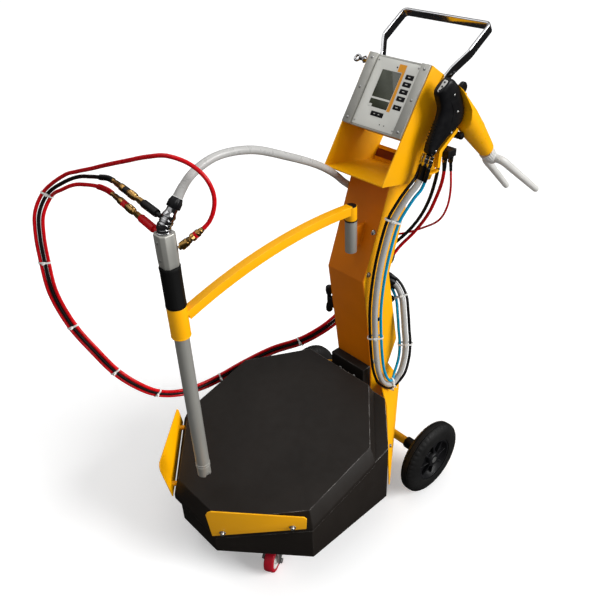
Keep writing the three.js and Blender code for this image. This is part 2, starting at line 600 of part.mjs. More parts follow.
const LANCE_BUNDLE = [
  [-404, -290, 826], [-412, -314, 788], [-415, -324, 742], [-415, -330, 672], [-405, -334, 597],
  [-380, -320, 509], [-350, -295, 438], [-325, -268, 375], [-303, -234, 325], [-291, -188, 277],
  [-288, -126, 240], [-280, -70, 230], [-272, -10, 230], [-258, 62, 242], [-218, 134, 272],
  [-160, 184, 306], [-116, 216, 346], [-88, 240, 380], [-80, 268, 400], [-77, 298, 414],
  [-70, 328, 426], [-48, 348, 438], [-18, 348, 450], [8, 334, 460], [28, 314, 468],
];
const GUN_BUNDLE = [
  [110, 300, 804], [103, 285, 785], [95, 270, 760], [87, 254, 728], [82, 237, 672], [79, 222, 604],
  [77, 213, 512], [78, 215, 428], [81, 219, 360], [84, 225, 316], [87, 241, 277], [90, 268, 256],
  [91, 296, 274], [90, 313, 312], [87, 319, 356], [82, 318, 402], [75, 320, 444], [58, 330, 482],
  [32, 330, 510], [6, 310, 526], [-16, 284, 534], [-32, 264, 540],
];
const SIDEWAYS = [1, -1, 0];

function addHoses() {
  const clear = () => finish(0xc9c7c0, 0.25);
  const red = () => finish(0xc4101c, 0.35);
  const black = () => finish(0x1a1818, 0.5);
  const blue = () => finish(0x1f93bd, 0.35);
  const route = {
    powder_hose_lance: [[
      [0, -219.3, 926], [0, -207, 940], [0, -184, 958], [0, -132, 973], [0, -53, 962], [0, 43, 918],
      [-22, 138, 864], [-50, 212, 812], [-68, 264, 768], [-70, 305, 735], [-66, 338, 710],
      [-46, 356, 690], [-18, 352, 672], [12, 330, 655], [38, 304, 638],
    ], 16, clear(), 10],
    red_hose_air: [[
      [38.4, -200.1, 871.7], [43, -190, 882], [49, -181, 905], [50, -178, 932], [42, -184, 962],
      [20, -198, 986], [-12, -220, 999], [-50, -236, 992], [-100, -249, 975], [-180, -255, 945],
      [-238, -257, 922], [-301, -258, 898], [-356, -264, 875], ...beside(LANCE_BUNDLE, 9, 0),
    ], 8, red()],
    black_hose: [[
      [-172.5, -248, 914.1], [-190, -248.5, 914], [-214, -250, 909], [-258, -252, 898], [-307, -256, 884],
      [-354, -268, 862], ...LANCE_BUNDLE,
    ], 8, black()],
    red_hose_pump: [[
      [-172.6, -255, 890.1], [-190, -255.5, 892], [-221, -257, 890], [-266, -260, 881], [-313, -266, 868],
      [-352, -278, 849], ...beside(LANCE_BUNDLE, 9, Math.PI),
    ], 8, red()],
    powder_hose_gun: [[[114.3, 317.8, 841.9], [113.2, 312.4, 825.5], ...GUN_BUNDLE], 14, clear(), 10],
    gun_cable: [[[102.5, 320.1, 841.9], [100.6, 313, 823], ...beside(GUN_BUNDLE, 12.3, 0)], 7, black()],
    blue_hose: [[[126.1, 315.5, 841.9], [125.4, 311.5, 826], ...beside(GUN_BUNDLE, 14, Math.PI)], 7, blue()],
    red_hose_rear: [[
      [116, 384, 837.5], [116, 385, 812], [110, 388, 780], [98, 388, 740], [78, 388, 690], [52, 375, 640],
      [30, 345, 600], [26, 318, 572], [36, 292, 550],
    ], 8, red()],
    black_hose_rear: [[
      [102, 381, 837.5], [101, 382, 810], [95, 382, 775], [84, 381, 732], [64, 376, 682], [40, 358, 638],
      [14, 332, 605], [-10, 312, 590], [-32, 294, 580],
    ], 8, black()],
    red_hose_thin: [[
      [125, 393, 837.5], [127, 395, 808], [128, 398, 766], [118, 404, 716], [94, 408, 672], [58, 398, 644],
      [26, 374, 628], [0, 352, 622], [-24, 330, 618], [-42, 312, 614],
    ], 5, red()],
  };
  for (const [name, [points, diameter, material, sides]] of Object.entries(route)) {
    add(name, hose(points, diameter, sides), material);
  }
}

addBase();
addPlatform();
addSpine();
addHead();
addControlUnit();
addHandle();
addWheels();
addCasters();
addArm();
addLance();
addCouplings();
addGun();
addFittings();
addHoses();

export default model;
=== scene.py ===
"""Looks of a mobile powder coating unit: box-feed trolley, swing arm with its suction lance, control unit,
spray gun and hoses. Shapes are given in millimetres in the row frame, cords in metres."""

import math

import bmesh
import bpy
from mathutils import Matrix, Vector


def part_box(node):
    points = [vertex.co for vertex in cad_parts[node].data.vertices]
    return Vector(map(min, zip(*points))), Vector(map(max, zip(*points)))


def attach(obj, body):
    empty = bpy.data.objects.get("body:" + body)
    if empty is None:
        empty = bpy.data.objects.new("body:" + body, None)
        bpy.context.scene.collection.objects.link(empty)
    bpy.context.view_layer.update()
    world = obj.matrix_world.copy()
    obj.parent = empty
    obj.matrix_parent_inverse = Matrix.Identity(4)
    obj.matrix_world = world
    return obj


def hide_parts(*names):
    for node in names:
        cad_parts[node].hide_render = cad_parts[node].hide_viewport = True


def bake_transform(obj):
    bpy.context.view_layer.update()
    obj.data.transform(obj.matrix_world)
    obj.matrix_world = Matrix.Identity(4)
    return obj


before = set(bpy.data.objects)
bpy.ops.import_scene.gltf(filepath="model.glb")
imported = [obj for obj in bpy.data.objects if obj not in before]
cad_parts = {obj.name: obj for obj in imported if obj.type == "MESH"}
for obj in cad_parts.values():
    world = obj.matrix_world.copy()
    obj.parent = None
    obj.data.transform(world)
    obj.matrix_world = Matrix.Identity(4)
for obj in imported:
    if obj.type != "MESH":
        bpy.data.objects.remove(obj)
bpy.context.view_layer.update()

MM = Matrix.Scale(0.001, 4)


def low(node):
    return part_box(node)[0] * 1000


def high(node):
    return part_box(node)[1] * 1000


def middle(node):
    return (low(node) + high(node)) / 2


# ---------- camera and light ----------
CAMERA_PLACE = (0.9749, -0.9585, 1.4545)
CAMERA_RIGHT = Vector((0.67897, 0.73303, -0.04086))
CAMERA_UP = Vector((-0.38776, 0.40531, 0.82786))
CAMERA_LENS = 42.42
SENSOR_WIDTH = 36
SKY_STRENGTH = 0.4
# what polished metal sees, from straight below to straight above: place and brightness
MIRROR_BAND = ((0.0, 0.02), (0.4, 0.04), (0.6, 0.8), (0.85, 0.2))


def add_camera():
    camera = bpy.data.objects.new("camera", bpy.data.cameras.new("camera"))
    camera.data.lens = CAMERA_LENS
    camera.data.sensor_width = SENSOR_WIDTH
    turn = Matrix((CAMERA_RIGHT, CAMERA_UP, CAMERA_RIGHT.cross(CAMERA_UP))).transposed().to_4x4()
    camera.matrix_world = Matrix.Translation(CAMERA_PLACE) @ turn
    bpy.context.scene.collection.objects.link(camera)
    bpy.context.scene.camera = camera


def add_lamp(name, kind, place, aim_at, power, **shape):
    lamp = bpy.data.objects.new(name, bpy.data.lights.new(name, kind))
    lamp.data.energy = power
    for setting, value in shape.items():
        setattr(lamp.data, setting, value)
    direction = Vector(aim_at) - Vector(place)
    lamp.rotation_mode = "QUATERNION"
    lamp.rotation_quaternion = direction.to_track_quat("-Z", "Y")
    lamp.location = place
    bpy.context.scene.collection.objects.link(lamp)


def node(tree, kind, inputs=(), **settings):
    """A node with its settings; each of its inputs, by name or number, is a value or another node's output."""
    made = tree.nodes.new(kind)
    for name, value in settings.items():
        setattr(made, name, value)
    for name, value in dict(inputs).items():
        if isinstance(value, bpy.types.NodeSocket):
            tree.links.new(value, made.inputs[name])
        else:
            made.inputs[name].default_value = value
    return made


def add_world():
    """An even pale surround; polished metal also sees a dark band round the horizon, as in a studio."""
    world = bpy.data.worlds.new("studio")
    world.use_nodes = True
    tree = world.node_tree
    sky = tree.nodes["Background"]
    sky.inputs["Color"].default_value = (1, 1, 1, 1)
    sky.inputs["Strength"].default_value = SKY_STRENGTH
    height = node(tree, "ShaderNodeSeparateXYZ", {0: node(tree, "ShaderNodeTexCoord").outputs["Generated"]})
    band = node(tree, "ShaderNodeValToRGB", {0: height.outputs["Z"]})
    for stop, (place, value) in enumerate(MIRROR_BAND):
        mark = band.color_ramp.elements[stop] if stop < 2 else band.color_ramp.elements.new(place)
        mark.position = place
        mark.color = (value, value, value, 1)
    mirror = node(tree, "ShaderNodeBackground", {"Color": band.outputs[0], "Strength": 1})
    pale = node(tree, "ShaderNodeBackground", {"Color": (1, 1, 1, 1)})
    rays = node(tree, "ShaderNodeLightPath").outputs
    glossy = node(tree, "ShaderNodeMixShader", {0: rays["Is Glossy Ray"], 1: sky.outputs[0], 2: mirror.outputs[0]})
    seen = node(tree, "ShaderNodeMixShader", {0: rays["Is Camera Ray"], 1: glossy.outputs[0], 2: pale.outputs[0]})
    tree.links.new(seen.outputs[0], tree.nodes["World Output"].inputs[0])
    bpy.context.scene.world = world


def add_studio():
    add_lamp("key", "SUN", (2.7, 1.5, 1.9), (0, 0, 0.4), 3.3, angle=0.6)
    add_lamp("top", "AREA", (-0.6, -0.3, 3.2), (0, 0, 0.3), 26, size=2.4)
    add_world()
    bpy.context.scene.view_settings.view_transform = "Standard"
    bm = bmesh.new()
    bmesh.ops.create_grid(bm, x_segments=8, y_segments=8, size=30)
    mesh = bpy.data.meshes.new("floor")
    bm.to_mesh(mesh)
    floor = bpy.data.objects.new("floor", mesh)
    bpy.context.scene.collection.objects.link(floor)
    floor.location.z = -0.0005
    floor.visible_glossy = False
    floor.visible_diffuse = False
    paper = bpy.data.materials.new("floor_paper")
    paper.use_nodes = True
    inputs = paper.node_tree.nodes["Principled BSDF"].inputs
    for socket, value in (("Base Color", (0.94, 0.94, 0.94, 1)), ("Roughness", 0.95), ("Specular IOR Level", 0.1),
                          ("Emission Color", (1, 1, 1, 1)), ("Emission Strength", 0.25)):
        inputs[socket].default_value = value
    mesh.materials.append(paper)


# ---------- materials ----------
def finish(name, colour, rough, metal, shine, variation, stretch=(1, 1, 1), wear=None, wear_width=0.0012,
           **sockets):
    """A surface whose colour, roughness and bump vary by noise; its edges can take a lighter colour, which is partly
    wear and, on the paints, partly a painted highlight.
    """
    tint, tint_scale, gloss, grain, grain_scale = variation
    made = bpy.data.materials.new(name)
    made.use_nodes = True
    tree = made.node_tree
    shader = tree.nodes["Principled BSDF"]
    shader.inputs["Metallic"].default_value = metal
    shader.inputs["Specular IOR Level"].default_value = shine
    for socket, value in sockets.items():
        shader.inputs[socket.replace("_", " ").title()].default_value = value
    place = node(tree, "ShaderNodeTexCoord").outputs["Object"]
    mapping = node(tree, "ShaderNodeMapping", {"Scale": stretch, "Vector": place}).outputs["Vector"]

    def noise(scale, detail):
        return node(tree, "ShaderNodeTexNoise", {"Scale": scale, "Detail": detail, "Vector": mapping}).outputs["Fac"]

    def spread(source, least, most, start=0.3, end=0.7):
        return node(tree, "ShaderNodeMapRange", {
            "Value": source, "From Min": start, "From Max": end, "To Min": least, "To Max": most,
        }).outputs["Result"]

    def mixed(share, first, second):
        return node(tree, "ShaderNodeMix", {0: share, 6: first, 7: second}, data_type="RGBA").outputs[2]

    broad, fine = noise(tint_scale, 4), noise(grain_scale, 3)
    darker = (*(c * (1 - tint) for c in colour), 1)
    lighter = (*(min(1, c * (1 + tint / 2)) for c in colour), 1)
    shade = mixed(spread(broad, 0, 1), darker, lighter)
    smooth = spread(noise(tint_scale * 6, 5), max(0.02, rough - gloss), min(1, rough + gloss))
    if wear:
        # lighter edges from the bevel normal: rubbed wear, and on the paints a painted highlight along the edges
        bevel = node(tree, "ShaderNodeBevel", {"Radius": wear_width}).outputs["Normal"]
        facing = node(tree, "ShaderNodeNewGeometry").outputs["Normal"]
        dot = node(tree, "ShaderNodeVectorMath", {0: bevel, 1: facing}, operation="DOT_PRODUCT").outputs["Value"]
        edge = spread(dot, 1, 0, 0.9, 0.995)
        patches = spread(noise(45, 6), 0.15, 0.9, 0.4, 0.6)
        worn_lit_edges = node(tree, "ShaderNodeMath", {0: edge, 1: patches}, operation="MULTIPLY").outputs["Value"]
        shade = mixed(worn_lit_edges, shade, (*wear, 1))
    bump = node(tree, "ShaderNodeBump", {"Strength": grain, "Distance": 0.001, "Height": fine})
    for socket, value in (("Normal", bump.outputs["Normal"]), ("Base Color", shade), ("Roughness", smooth)):
        tree.links.new(value, shader.inputs[socket])
    return made


LOOKS = {
    # colour, roughness, metallic, specular level, (tint and its scale, gloss, grain and its scale), the rest
    # the lighter yellow of its edges is a painted highlight, with some wear
    "yellow_paint": ((0.93, 0.42, 0.0), 0.4, 0, 0.2, (0.06, 9, 0.07, 0.09, 420), {"wear": (1.0, 0.62, 0.06)}),
    # the spine front: the yellow paint with painted shade, darker and more orange, and its lighter edges likewise
    "column_paint": ((0.64, 0.165, 0.0), 0.42, 0, 0.2, (0.1, 9, 0.07, 0.09, 420), {"wear": (0.9, 0.36, 0.02)}),
    # its light grey edges are mostly a painted highlight along the lid's edges, with a little wear
    "brown_paint": ((0.0155, 0.0125, 0.0105), 0.46, 0, 0.16, (0.2, 7, 0.08, 0.2, 700),
                    {"wear": (0.42, 0.4, 0.38), "wear_width": 0.0022}),
    "black_plastic": ((0.006, 0.006, 0.007), 0.4, 0, 0.2, (0.3, 14, 0.1, 0.16, 900),
                      {"wear": (0.04, 0.04, 0.045), "wear_width": 0.0006}),
    "key_rubber": ((0.005, 0.005, 0.006), 0.55, 0, 0.15, (0.3, 14, 0.1, 0.2, 1500), {}),
    "tyre_rubber": ((0.009, 0.0087, 0.0085), 0.62, 0, 0.16, (0.4, 22, 0.14, 0.3, 500),
                    {"wear": (0.05, 0.048, 0.046), "wear_width": 0.001}),
    "hub_plastic": ((0.008, 0.008, 0.009), 0.38, 0, 0.2, (0.3, 14, 0.12, 0.15, 800),
                    {"wear": (0.06, 0.06, 0.06), "wear_width": 0.0007}),
    "grip_rubber": ((0.006, 0.006, 0.006), 0.6, 0, 0.15, (0.4, 14, 0.12, 0.4, 260), {"stretch": (1, 1, 0.06)}),
    "bare_aluminium": ((0.45, 0.445, 0.41), 0.42, 0.5, 0.25, (0.16, 18, 0.1, 0.16, 240),
                       {"stretch": (1, 1, 0.08), "wear": (0.6, 0.6, 0.57)}),
    "panel_foil": ((0.74, 0.74, 0.69), 0.5, 0, 0.25, (0.05, 14, 0.08, 0.12, 1800), {}),
    "display": ((0.05, 0.056, 0.036), 0.16, 0, 0.25, (0.35, 30, 0.06, 0.01, 600),
                {"coat_weight": 0.6, "coat_roughness": 0.04}),
    "chrome_steel": ((0.5, 0.5, 0.51), 0.13, 1, 0.25, (0.08, 30, 0.05, 0.02, 300), {}),
    "zinc_steel": ((0.5, 0.5, 0.49), 0.34, 0.9, 0.25, (0.22, 60, 0.12, 0.12, 800), {"wear": (0.75, 0.75, 0.73)}),
    "motor_casting": ((0.15, 0.165, 0.17), 0.58, 0.4, 0.25, (0.2, 14, 0.12, 0.6, 380), {"wear": (0.4, 0.42, 0.42)}),
    "caster_tread": ((0.46, 0.003, 0.018), 0.42, 0, 0.25, (0.2, 40, 0.1, 0.1, 500), {}),
    "fitting_brass": ((0.62, 0.36, 0.11), 0.24, 1, 0.25, (0.2, 60, 0.08, 0.08, 700),
                      {"wear": (0.9, 0.66, 0.3), "wear_width": 0.0005}),
    "gun_yellow": ((0.93, 0.43, 0.0), 0.32, 0, 0.25, (0.06, 20, 0.06, 0.05, 900), {}),
    "gun_white": ((0.72, 0.71, 0.68), 0.35, 0, 0.25, (0.05, 30, 0.08, 0.05, 800), {"transmission_weight": 0.15}),
    "hose_clear": ((0.47, 0.465, 0.45), 0.3, 0, 0.4, (0.07, 12, 0.05, 0.03, 260), {"transmission_weight": 0.12}),
    "hose_red": ((0.56, 0.0, 0.004), 0.3, 0, 0.25, (0.2, 30, 0.08, 0.05, 500), {}),
    "hose_black": ((0.008, 0.0075, 0.008), 0.36, 0, 0.22, (0.3, 30, 0.1, 0.1, 500), {}),
    "hose_blue": ((0.0, 0.31, 0.54), 0.32, 0, 0.25, (0.15, 30, 0.08, 0.05, 500), {}),
    "print_orange": ((0.83, 0.34, 0.02), 0.45, 0, 0.25, (0.05, 14, 0.1, 0.1, 1800), {}),
    "tie_nylon": ((0.75, 0.75, 0.73), 0.4, 0, 0.25, (0.08, 60, 0.1, 0.1, 900), {}),
    # dark red-brown: painted shade, the yellow paint as it looks deep in the shelf's shade
    "lip_painted_shade": ((0.2, 0.03, 0.012), 0.45, 0, 0.25, (0.2, 14, 0.1, 0.1, 420), {}),
}
FINISHES = {name: finish(name, *look, **rest) for name, (*look, rest) in LOOKS.items()}
SIDES = ((-1, "left"), (1, "right"))


# ---------- shape kit ----------
IN_PLACE = Matrix.Identity(4)


def at(x, y, z=0):
    return Matrix.Translation((x, y, z))


def spun(angle, axis):
    return Matrix.Rotation(angle, 4, axis)


def aimed(origin, direction, up=(0, 0, 1)):
    """A place whose Z runs along direction, and whose Y leans to up."""
    z = Vector(direction).normalized()
    side = Vector(up).cross(z)
    x = side.normalized() if side.length > 1e-6 else Vector((1, 0, 0))
    turn = Matrix((x, z.cross(x), z)).transposed().to_4x4()
    return Matrix.Translation(origin) @ turn


def circle(count):
    """Cosine and sine of each point."""
    return [(math.cos(2 * math.pi * k / count), math.sin(2 * math.pi * k / count)) for k in range(count)]


def superpoint(angle, half_x, half_y, power):
    """A point of a superellipse, which is an ellipse at power 2 and nearly a rectangle at power 6."""
    c, s = math.cos(angle), math.sin(angle)
    return (
        half_x * math.copysign(abs(c) ** (2 / power), c),
        half_y * math.copysign(abs(s) ** (2 / power), s),
    )


def rectangle(x0, y0, x1, y1):
    return [(x0, y0), (x1, y0), (x1, y1), (x0, y1)]


def rounded_outline(points, radius, steps=5):
    """An outline whose corners are arcs; radius is one value or one for each point, 0 for the ends of an open one."""
    count = len(points)
    out = []
    for i, point in enumerate(points):
        here = Vector(point)
        before = Vector(points[i - 1]) - here
        after = Vector(points[(i + 1) % count]) - here
        r = radius[i] if hasattr(radius, "__len__") else radius
        turn = before.angle(after) / 2
        back = min(r / math.tan(turn), before.length * 0.48, after.length * 0.48)
        if r <= 0 or turn > 1.55:
            out.append(here)
            continue
        start = here + before.normalized() * back
        end = here + after.normalized() * back
        for k in range(steps + 1):
            t = k / steps
            out.append(start * (1 - t) ** 2 + here * 2 * t * (1 - t) + end * t ** 2)
    return out


def plaque(half_x, half_y, radius, steps=5):
    return rounded_outline(rectangle(-half_x, -half_y, half_x, half_y), radius, steps)


def mirrored(profile):
    """A profile below z = 0 that goes on as its own mirror image."""
    return [*profile, *((r, -z) for r, z in reversed(profile) if z)]


def fluted(profile, flutes):
    """Rings of z, radius and depth of their flutes."""
    count = flutes * 6
    rows = []
    for z, radius, wave in profile:
        angles = [2 * math.pi * k / count for k in range(count)]
        reaches = [radius - wave * (0.5 + 0.5 * math.cos(flutes * angle)) for angle in angles]
        rows.append([(r * math.cos(a), r * math.sin(a), z) for r, a in zip(reaches, angles)])
    return rows


def smooth_line(points, step):
    """Centripetal Catmull-Rom through the points, with about one point every step."""
    pts = [Vector(p) for p in points]
    pts = [2 * pts[0] - pts[1], *pts, 2 * pts[-1] - pts[-2]]
    line = []
    for a, b, c, d in zip(pts, pts[1:], pts[2:], pts[3:]):
        t1 = (b - a).length ** 0.5
        t2 = t1 + (c - b).length ** 0.5
        t3 = t2 + (d - c).length ** 0.5
        count = max(2, round((c - b).length / step))
        for k in range(count):
            t = t1 + (t2 - t1) * k / count
            ab = a.lerp(b, t / t1)
            bc = b.lerp(c, (t - t1) / (t2 - t1))
            cd = c.lerp(d, (t - t2) / (t3 - t2))
            line.append(ab.lerp(bc, t / t2).lerp(bc.lerp(cd, (t - t1) / (t3 - t1)), (t - t1) / (t2 - t1)))
    line.append(pts[-2])
    return line


def in_mm(points, step):
    """A smooth line, in millimetres, through points in metres."""
    return smooth_line([Vector(p) * 1000 for p in points], step)


def soften(piece, bevel, segments, smooth):
    """Bevelled edges on a piece, in millimetres, wherever it turns by more than smooth degrees."""
    soft = piece.modifiers.new("soft_edges", "BEVEL")
    soft.width = bevel / 1000
    soft.segments = segments
    soft.limit_method = "ANGLE"
    soft.angle_limit = math.radians(smooth)
    return soft


class Piece:
    """One mesh made of several shapes, in millimetres in the row frame."""

    def __init__(self, place=IN_PLACE):
        self.bm = bmesh.new()
        self.place = place

    def rings(self, rows, place=IN_PLACE, closed=False):
        """Faces between rows of points, each row a closed ring; unless the rows close too, their ends are capped."""
        matrix = self.place @ place
        made = [[self.bm.verts.new(matrix @ Vector(p)) for p in row] for row in rows]
        pairs = list(zip(made, made[1:])) + ([(made[-1], made[0])] if closed else [])
        for first, second in pairs:
            for i in range(len(first)):
                j = (i + 1) % len(first)
                self.bm.faces.new((first[i], first[j], second[j], second[i]))
        if not closed:
            self.bm.faces.new(list(reversed(made[0])))
            self.bm.faces.new(made[-1])
        return self

    def turned(self, profile, place=IN_PLACE, sides=32, closed=False):
        """A solid of revolution about Z: profile points are radius, z. An open profile is capped."""
        return self.rings([[(r * c, r * s, z) for c, s in circle(sides)] for r, z in profile], place, closed)

    def prism(self, outline, z0, z1, place=IN_PLACE):
        return self.rings([[(x, y, z) for x, y in outline] for z in (z0, z1)], place)

    def box(self, x0, y0, z0, x1, y1, z1):
        return self.prism(rectangle(x0, y0, x1, y1), z0, z1)

    def swept(self, line, section, up=(0, 0, 1), closed=False, scale=None):
        """A section (side, up) carried along a line without twist; scale makes it grow or shrink on its way."""
        rows = []
        top = Vector(up)
        for i, point in enumerate(line):
            before = line[i - 1] if closed or i else line[0]
            after = line[(i + 1) % len(line)] if closed or i < len(line) - 1 else line[-1]
            along = (after - before).normalized()
            side = along.cross(top)
            if side.length < 1e-6:
                side = along.orthogonal()
            side.normalize()
            top = side.cross(along)
            grow = scale(i / (len(line) - 1)) if scale else 1
            rows.append([point + side * (a * grow) + top * (b * grow) for a, b in section])
        return self.rings(rows, closed=closed)

    def tube(self, line, radius, sides=16, **options):
        return self.swept(line, [(radius * c, radius * s) for c, s in circle(sides)], **options)

    def done(self, name, material, body="chassis", *, replaces=(), bevel=0, segments=2, smooth=40, subdivide=0):
        bmesh.ops.recalc_face_normals(self.bm, faces=self.bm.faces)
        self.bm.transform(MM)
        for face in self.bm.faces:
            face.smooth = True
        for edge in self.bm.edges:
            edge.smooth = edge.calc_face_angle(0) < math.radians(smooth)
        mesh = bpy.data.meshes.new(name)
        self.bm.to_mesh(mesh)
        self.bm.free()
        mesh.materials.append(FINISHES[material])
        piece = bpy.data.objects.new(name, mesh)
        bpy.context.scene.collection.objects.link(piece)
        if bevel:
            soften(piece, bevel, segments, smooth).harden_normals = True
        if subdivide:
            piece.modifiers.new("fine", "SUBSURF").render_levels = subdivide
            piece.modifiers["fine"].levels = subdivide
        if body:
            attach(piece, body)
        if replaces:
            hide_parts(*replaces)
        return piece


def dress(node, material, bevel=0.8, segments=3, smooth=32):
    """A CAD node keeps its mesh and gets its finish, soft edges and smooth round faces."""
    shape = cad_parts[node]
    shape.data.materials.clear()
    shape.data.materials.append(FINISHES[material])
    weld = shape.modifiers.new("weld", "WELD")
    weld.merge_threshold = 0.00002
    flat = shape.modifiers.new("flat", "DECIMATE")
    flat.decimate_type = "DISSOLVE"
    flat.angle_limit = math.radians(0.6)
    soften(shape, bevel, segments, smooth)
    shading = shape.modifiers.new("shading", "NODES")
    shading.node_group = smooth_group(smooth)


def smooth_group(angle):
    """Geometry nodes that shade smooth over every edge flatter than angle."""
    name = f"smooth_{angle}"
    if name in bpy.data.node_groups:
        return bpy.data.node_groups[name]
    group = bpy.data.node_groups.new(name, "GeometryNodeTree")
    for way in ("INPUT", "OUTPUT"):
        group.interface.new_socket("Geometry", in_out=way, socket_type="NodeSocketGeometry")
    start = node(group, "NodeGroupInput").outputs[0]
    turn = node(group, "GeometryNodeInputMeshEdgeAngle").outputs[0]
    sharp = node(group, "FunctionNodeCompare", {0: turn, 1: math.radians(angle)}).outputs[0]
    smoothed = node(group, "GeometryNodeSetShadeSmooth", {"Geometry": start, "Shade Smooth": True}).outputs[0]
    edges = node(group, "GeometryNodeSetShadeSmooth", domain="EDGE", inputs={
        "Geometry": smoothed, "Selection": sharp, "Shade Smooth": False,
    })
    node(group, "NodeGroupOutput", {0: edges.outputs[0]})
    return group


# ---------- hoses and cables ----------
ROW_SHIFT = -154.4  # place of the part's own origin along the row frame's Y, in millimetres


def route(points):
    """Points in metres in the row frame, from millimetres in the part's own frame."""
    return [(x / 1000, (y + ROW_SHIFT) / 1000, z / 1000) for x, y, z in points]


LANCE_BUNDLE = route([
    (-404, -290, 826), (-412, -314, 788), (-415, -324, 742), (-415, -330, 672), (-405, -334, 597),
    (-380, -320, 509), (-350, -295, 438), (-325, -268, 375), (-303, -234, 325), (-291, -188, 277),
    (-288, -126, 240), (-280, -70, 230), (-272, -10, 230), (-258, 62, 242), (-218, 134, 272),
    (-160, 184, 306), (-116, 216, 346), (-88, 240, 380), (-80, 268, 400), (-77, 298, 414), (-70, 328, 426),
    (-48, 348, 438), (-18, 348, 450), (8, 334, 460), (28, 314, 468),
])
GUN_BUNDLE = route([
    (110, 300, 804), (103, 285, 785), (95, 270, 760), (87, 254, 728), (82, 237, 672), (79, 222, 604),
    (77, 213, 512), (78, 215, 428), (81, 219, 360), (84, 225, 316), (87, 241, 277), (90, 268, 256),
    (91, 296, 274), (90, 313, 312), (87, 319, 356), (82, 318, 402), (75, 320, 444), (58, 330, 482),
    (32, 330, 510), (6, 310, 526), (-16, 284, 534), (-32, 264, 540),
])
SIDEWAYS = Vector((1, -1, 0))


def beside_frame(points, i):
    """The along, side and up directions of a bundle's point."""
    path = [Vector(p) for p in points]
    along = (path[min(i + 1, len(path) - 1)] - path[max(i - 1, 0)]).normalized()
    side = along.cross(SIDEWAYS).normalized()
    return along, side, side.cross(along)


def beside(points, distance, angle):
    """The route of a hose that runs beside a bundle's middle one."""
    line = []
    for i, point in enumerate(points):
        _, side, up = beside_frame(points, i)
        line.append(Vector(point) + (side * math.cos(angle) + up * math.sin(angle)) * distance)
    return line


LANCE_HOSE = route([
    (0, -219.3, 926), (0, -207, 940), (0, -184, 958), (0, -132, 973), (0, -53, 962), (0, 43, 918),
    (-22, 138, 864), (-50, 212, 812), (-68, 264, 768), (-70, 305, 735), (-66, 338, 710), (-46, 356, 690),
    (-18, 352, 672), (12, 330, 655), (38, 304, 638),
])
AIR_LEAD = route([
    (38.4, -200.1, 871.7), (43, -190, 882), (49, -181, 905), (50, -178, 932), (42, -184, 962),
    (20, -198, 986), (-12, -220, 999), (-50, -236, 992), (-100, -249, 975), (-180, -255, 945),
    (-238, -257, 922), (-301, -258, 898), (-356, -264, 875),
])
BLACK_LEAD = route([
    (-172.5, -248, 914.1), (-190, -248.5, 914), (-214, -250, 909), (-258, -252, 898), (-307, -256, 884),
    (-354, -268, 862),
])
PUMP_LEAD = route([
    (-172.6, -255, 890.1), (-190, -255.5, 892), (-221, -257, 890), (-266, -260, 881), (-313, -266, 868),
    (-352, -278, 849),
])
RED_REAR = route([
    (116, 384, 837.5), (116, 385, 812), (110, 388, 780), (98, 388, 740), (78, 388, 690), (52, 375, 640),
    (30, 345, 600), (26, 318, 572), (36, 292, 550),
])
BLACK_REAR = route([
    (102, 381, 837.5), (101, 382, 810), (95, 382, 775), (84, 381, 732), (64, 376, 682), (40, 358, 638),
    (14, 332, 605), (-10, 312, 590), (-32, 294, 580),
])
THIN_REAR = route([
    (125, 393, 837.5), (127, 395, 808), (128, 398, 766), (118, 404, 716), (94, 408, 672), (58, 398, 644),
    (26, 374, 628), (0, 352, 622), (-24, 330, 618), (-42, 312, 614),
])
# where a hose changes from one joint's bend to the next
LANCE_TO_ARM = ((-0.22, -0.405, 0.9), (-0.404, -0.4444, 0.826))
ARM_TO_CHASSIS = ((-0.404, -0.4444, 0.826), (-0.12, 0.0456, 0.35))
HOSE_TO_ARM = ((0, -0.36, 0.95), (-0.022, -0.0164, 0.864))
HOSE_TO_CHASSIS = ((-0.022, -0.0164, 0.864), (-0.068, 0.1096, 0.768))
GUN_TO_CHASSIS = ((0.113, 0.158, 0.826), (0.083, 0.09, 0.69))
LANCE_BENDS = [("lance", "arm", LANCE_TO_ARM), ("arm", "chassis", ARM_TO_CHASSIS)]
HOSE_BENDS = [("lance", "arm", HOSE_TO_ARM), ("arm", "chassis", HOSE_TO_CHASSIS)]
GUN_BENDS = [("gun", "chassis", GUN_TO_CHASSIS)]
REAR_BENDS = [("chassis", None, None)]
# name: route, diameter, finish, index of the point where it is split, and the bends of its stretches
HOSES = {
    "powder_hose_lance": (LANCE_HOSE, 0.016, "hose_clear", 6, HOSE_BENDS),
    "red_hose_air": ([*AIR_LEAD, *beside(LANCE_BUNDLE, 0.009, 0)], 0.008, "hose_red", 13, LANCE_BENDS),
    "black_hose": ([*BLACK_LEAD, *LANCE_BUNDLE], 0.008, "hose_black", 6, LANCE_BENDS),
    "red_hose_pump": ([*PUMP_LEAD, *beside(LANCE_BUNDLE, 0.009, math.pi)], 0.008, "hose_red", 6, LANCE_BENDS),
    "powder_hose_gun": ([(0.1143, 0.1634, 0.8419), (0.1132, 0.158, 0.8255), *GUN_BUNDLE], 0.014, "hose_clear",
                        None, GUN_BENDS),
    "gun_cable": ([(0.1025, 0.1657, 0.8419), (0.1006, 0.1586, 0.823), *beside(GUN_BUNDLE, 0.0123, 0)], 0.007,
                  "hose_black", None, GUN_BENDS),
    "blue_hose": ([(0.1261, 0.1611, 0.8419), (0.1254, 0.1571, 0.826), *beside(GUN_BUNDLE, 0.014, math.pi)], 0.007,
                  "hose_blue", None, GUN_BENDS),
    "red_hose_rear": (RED_REAR, 0.008, "hose_red", None, REAR_BENDS),
    "black_hose_rear": (BLACK_REAR, 0.008, "hose_black", None, REAR_BENDS),
    "red_hose_thin": (THIN_REAR, 0.005, "hose_red", None, REAR_BENDS),
}
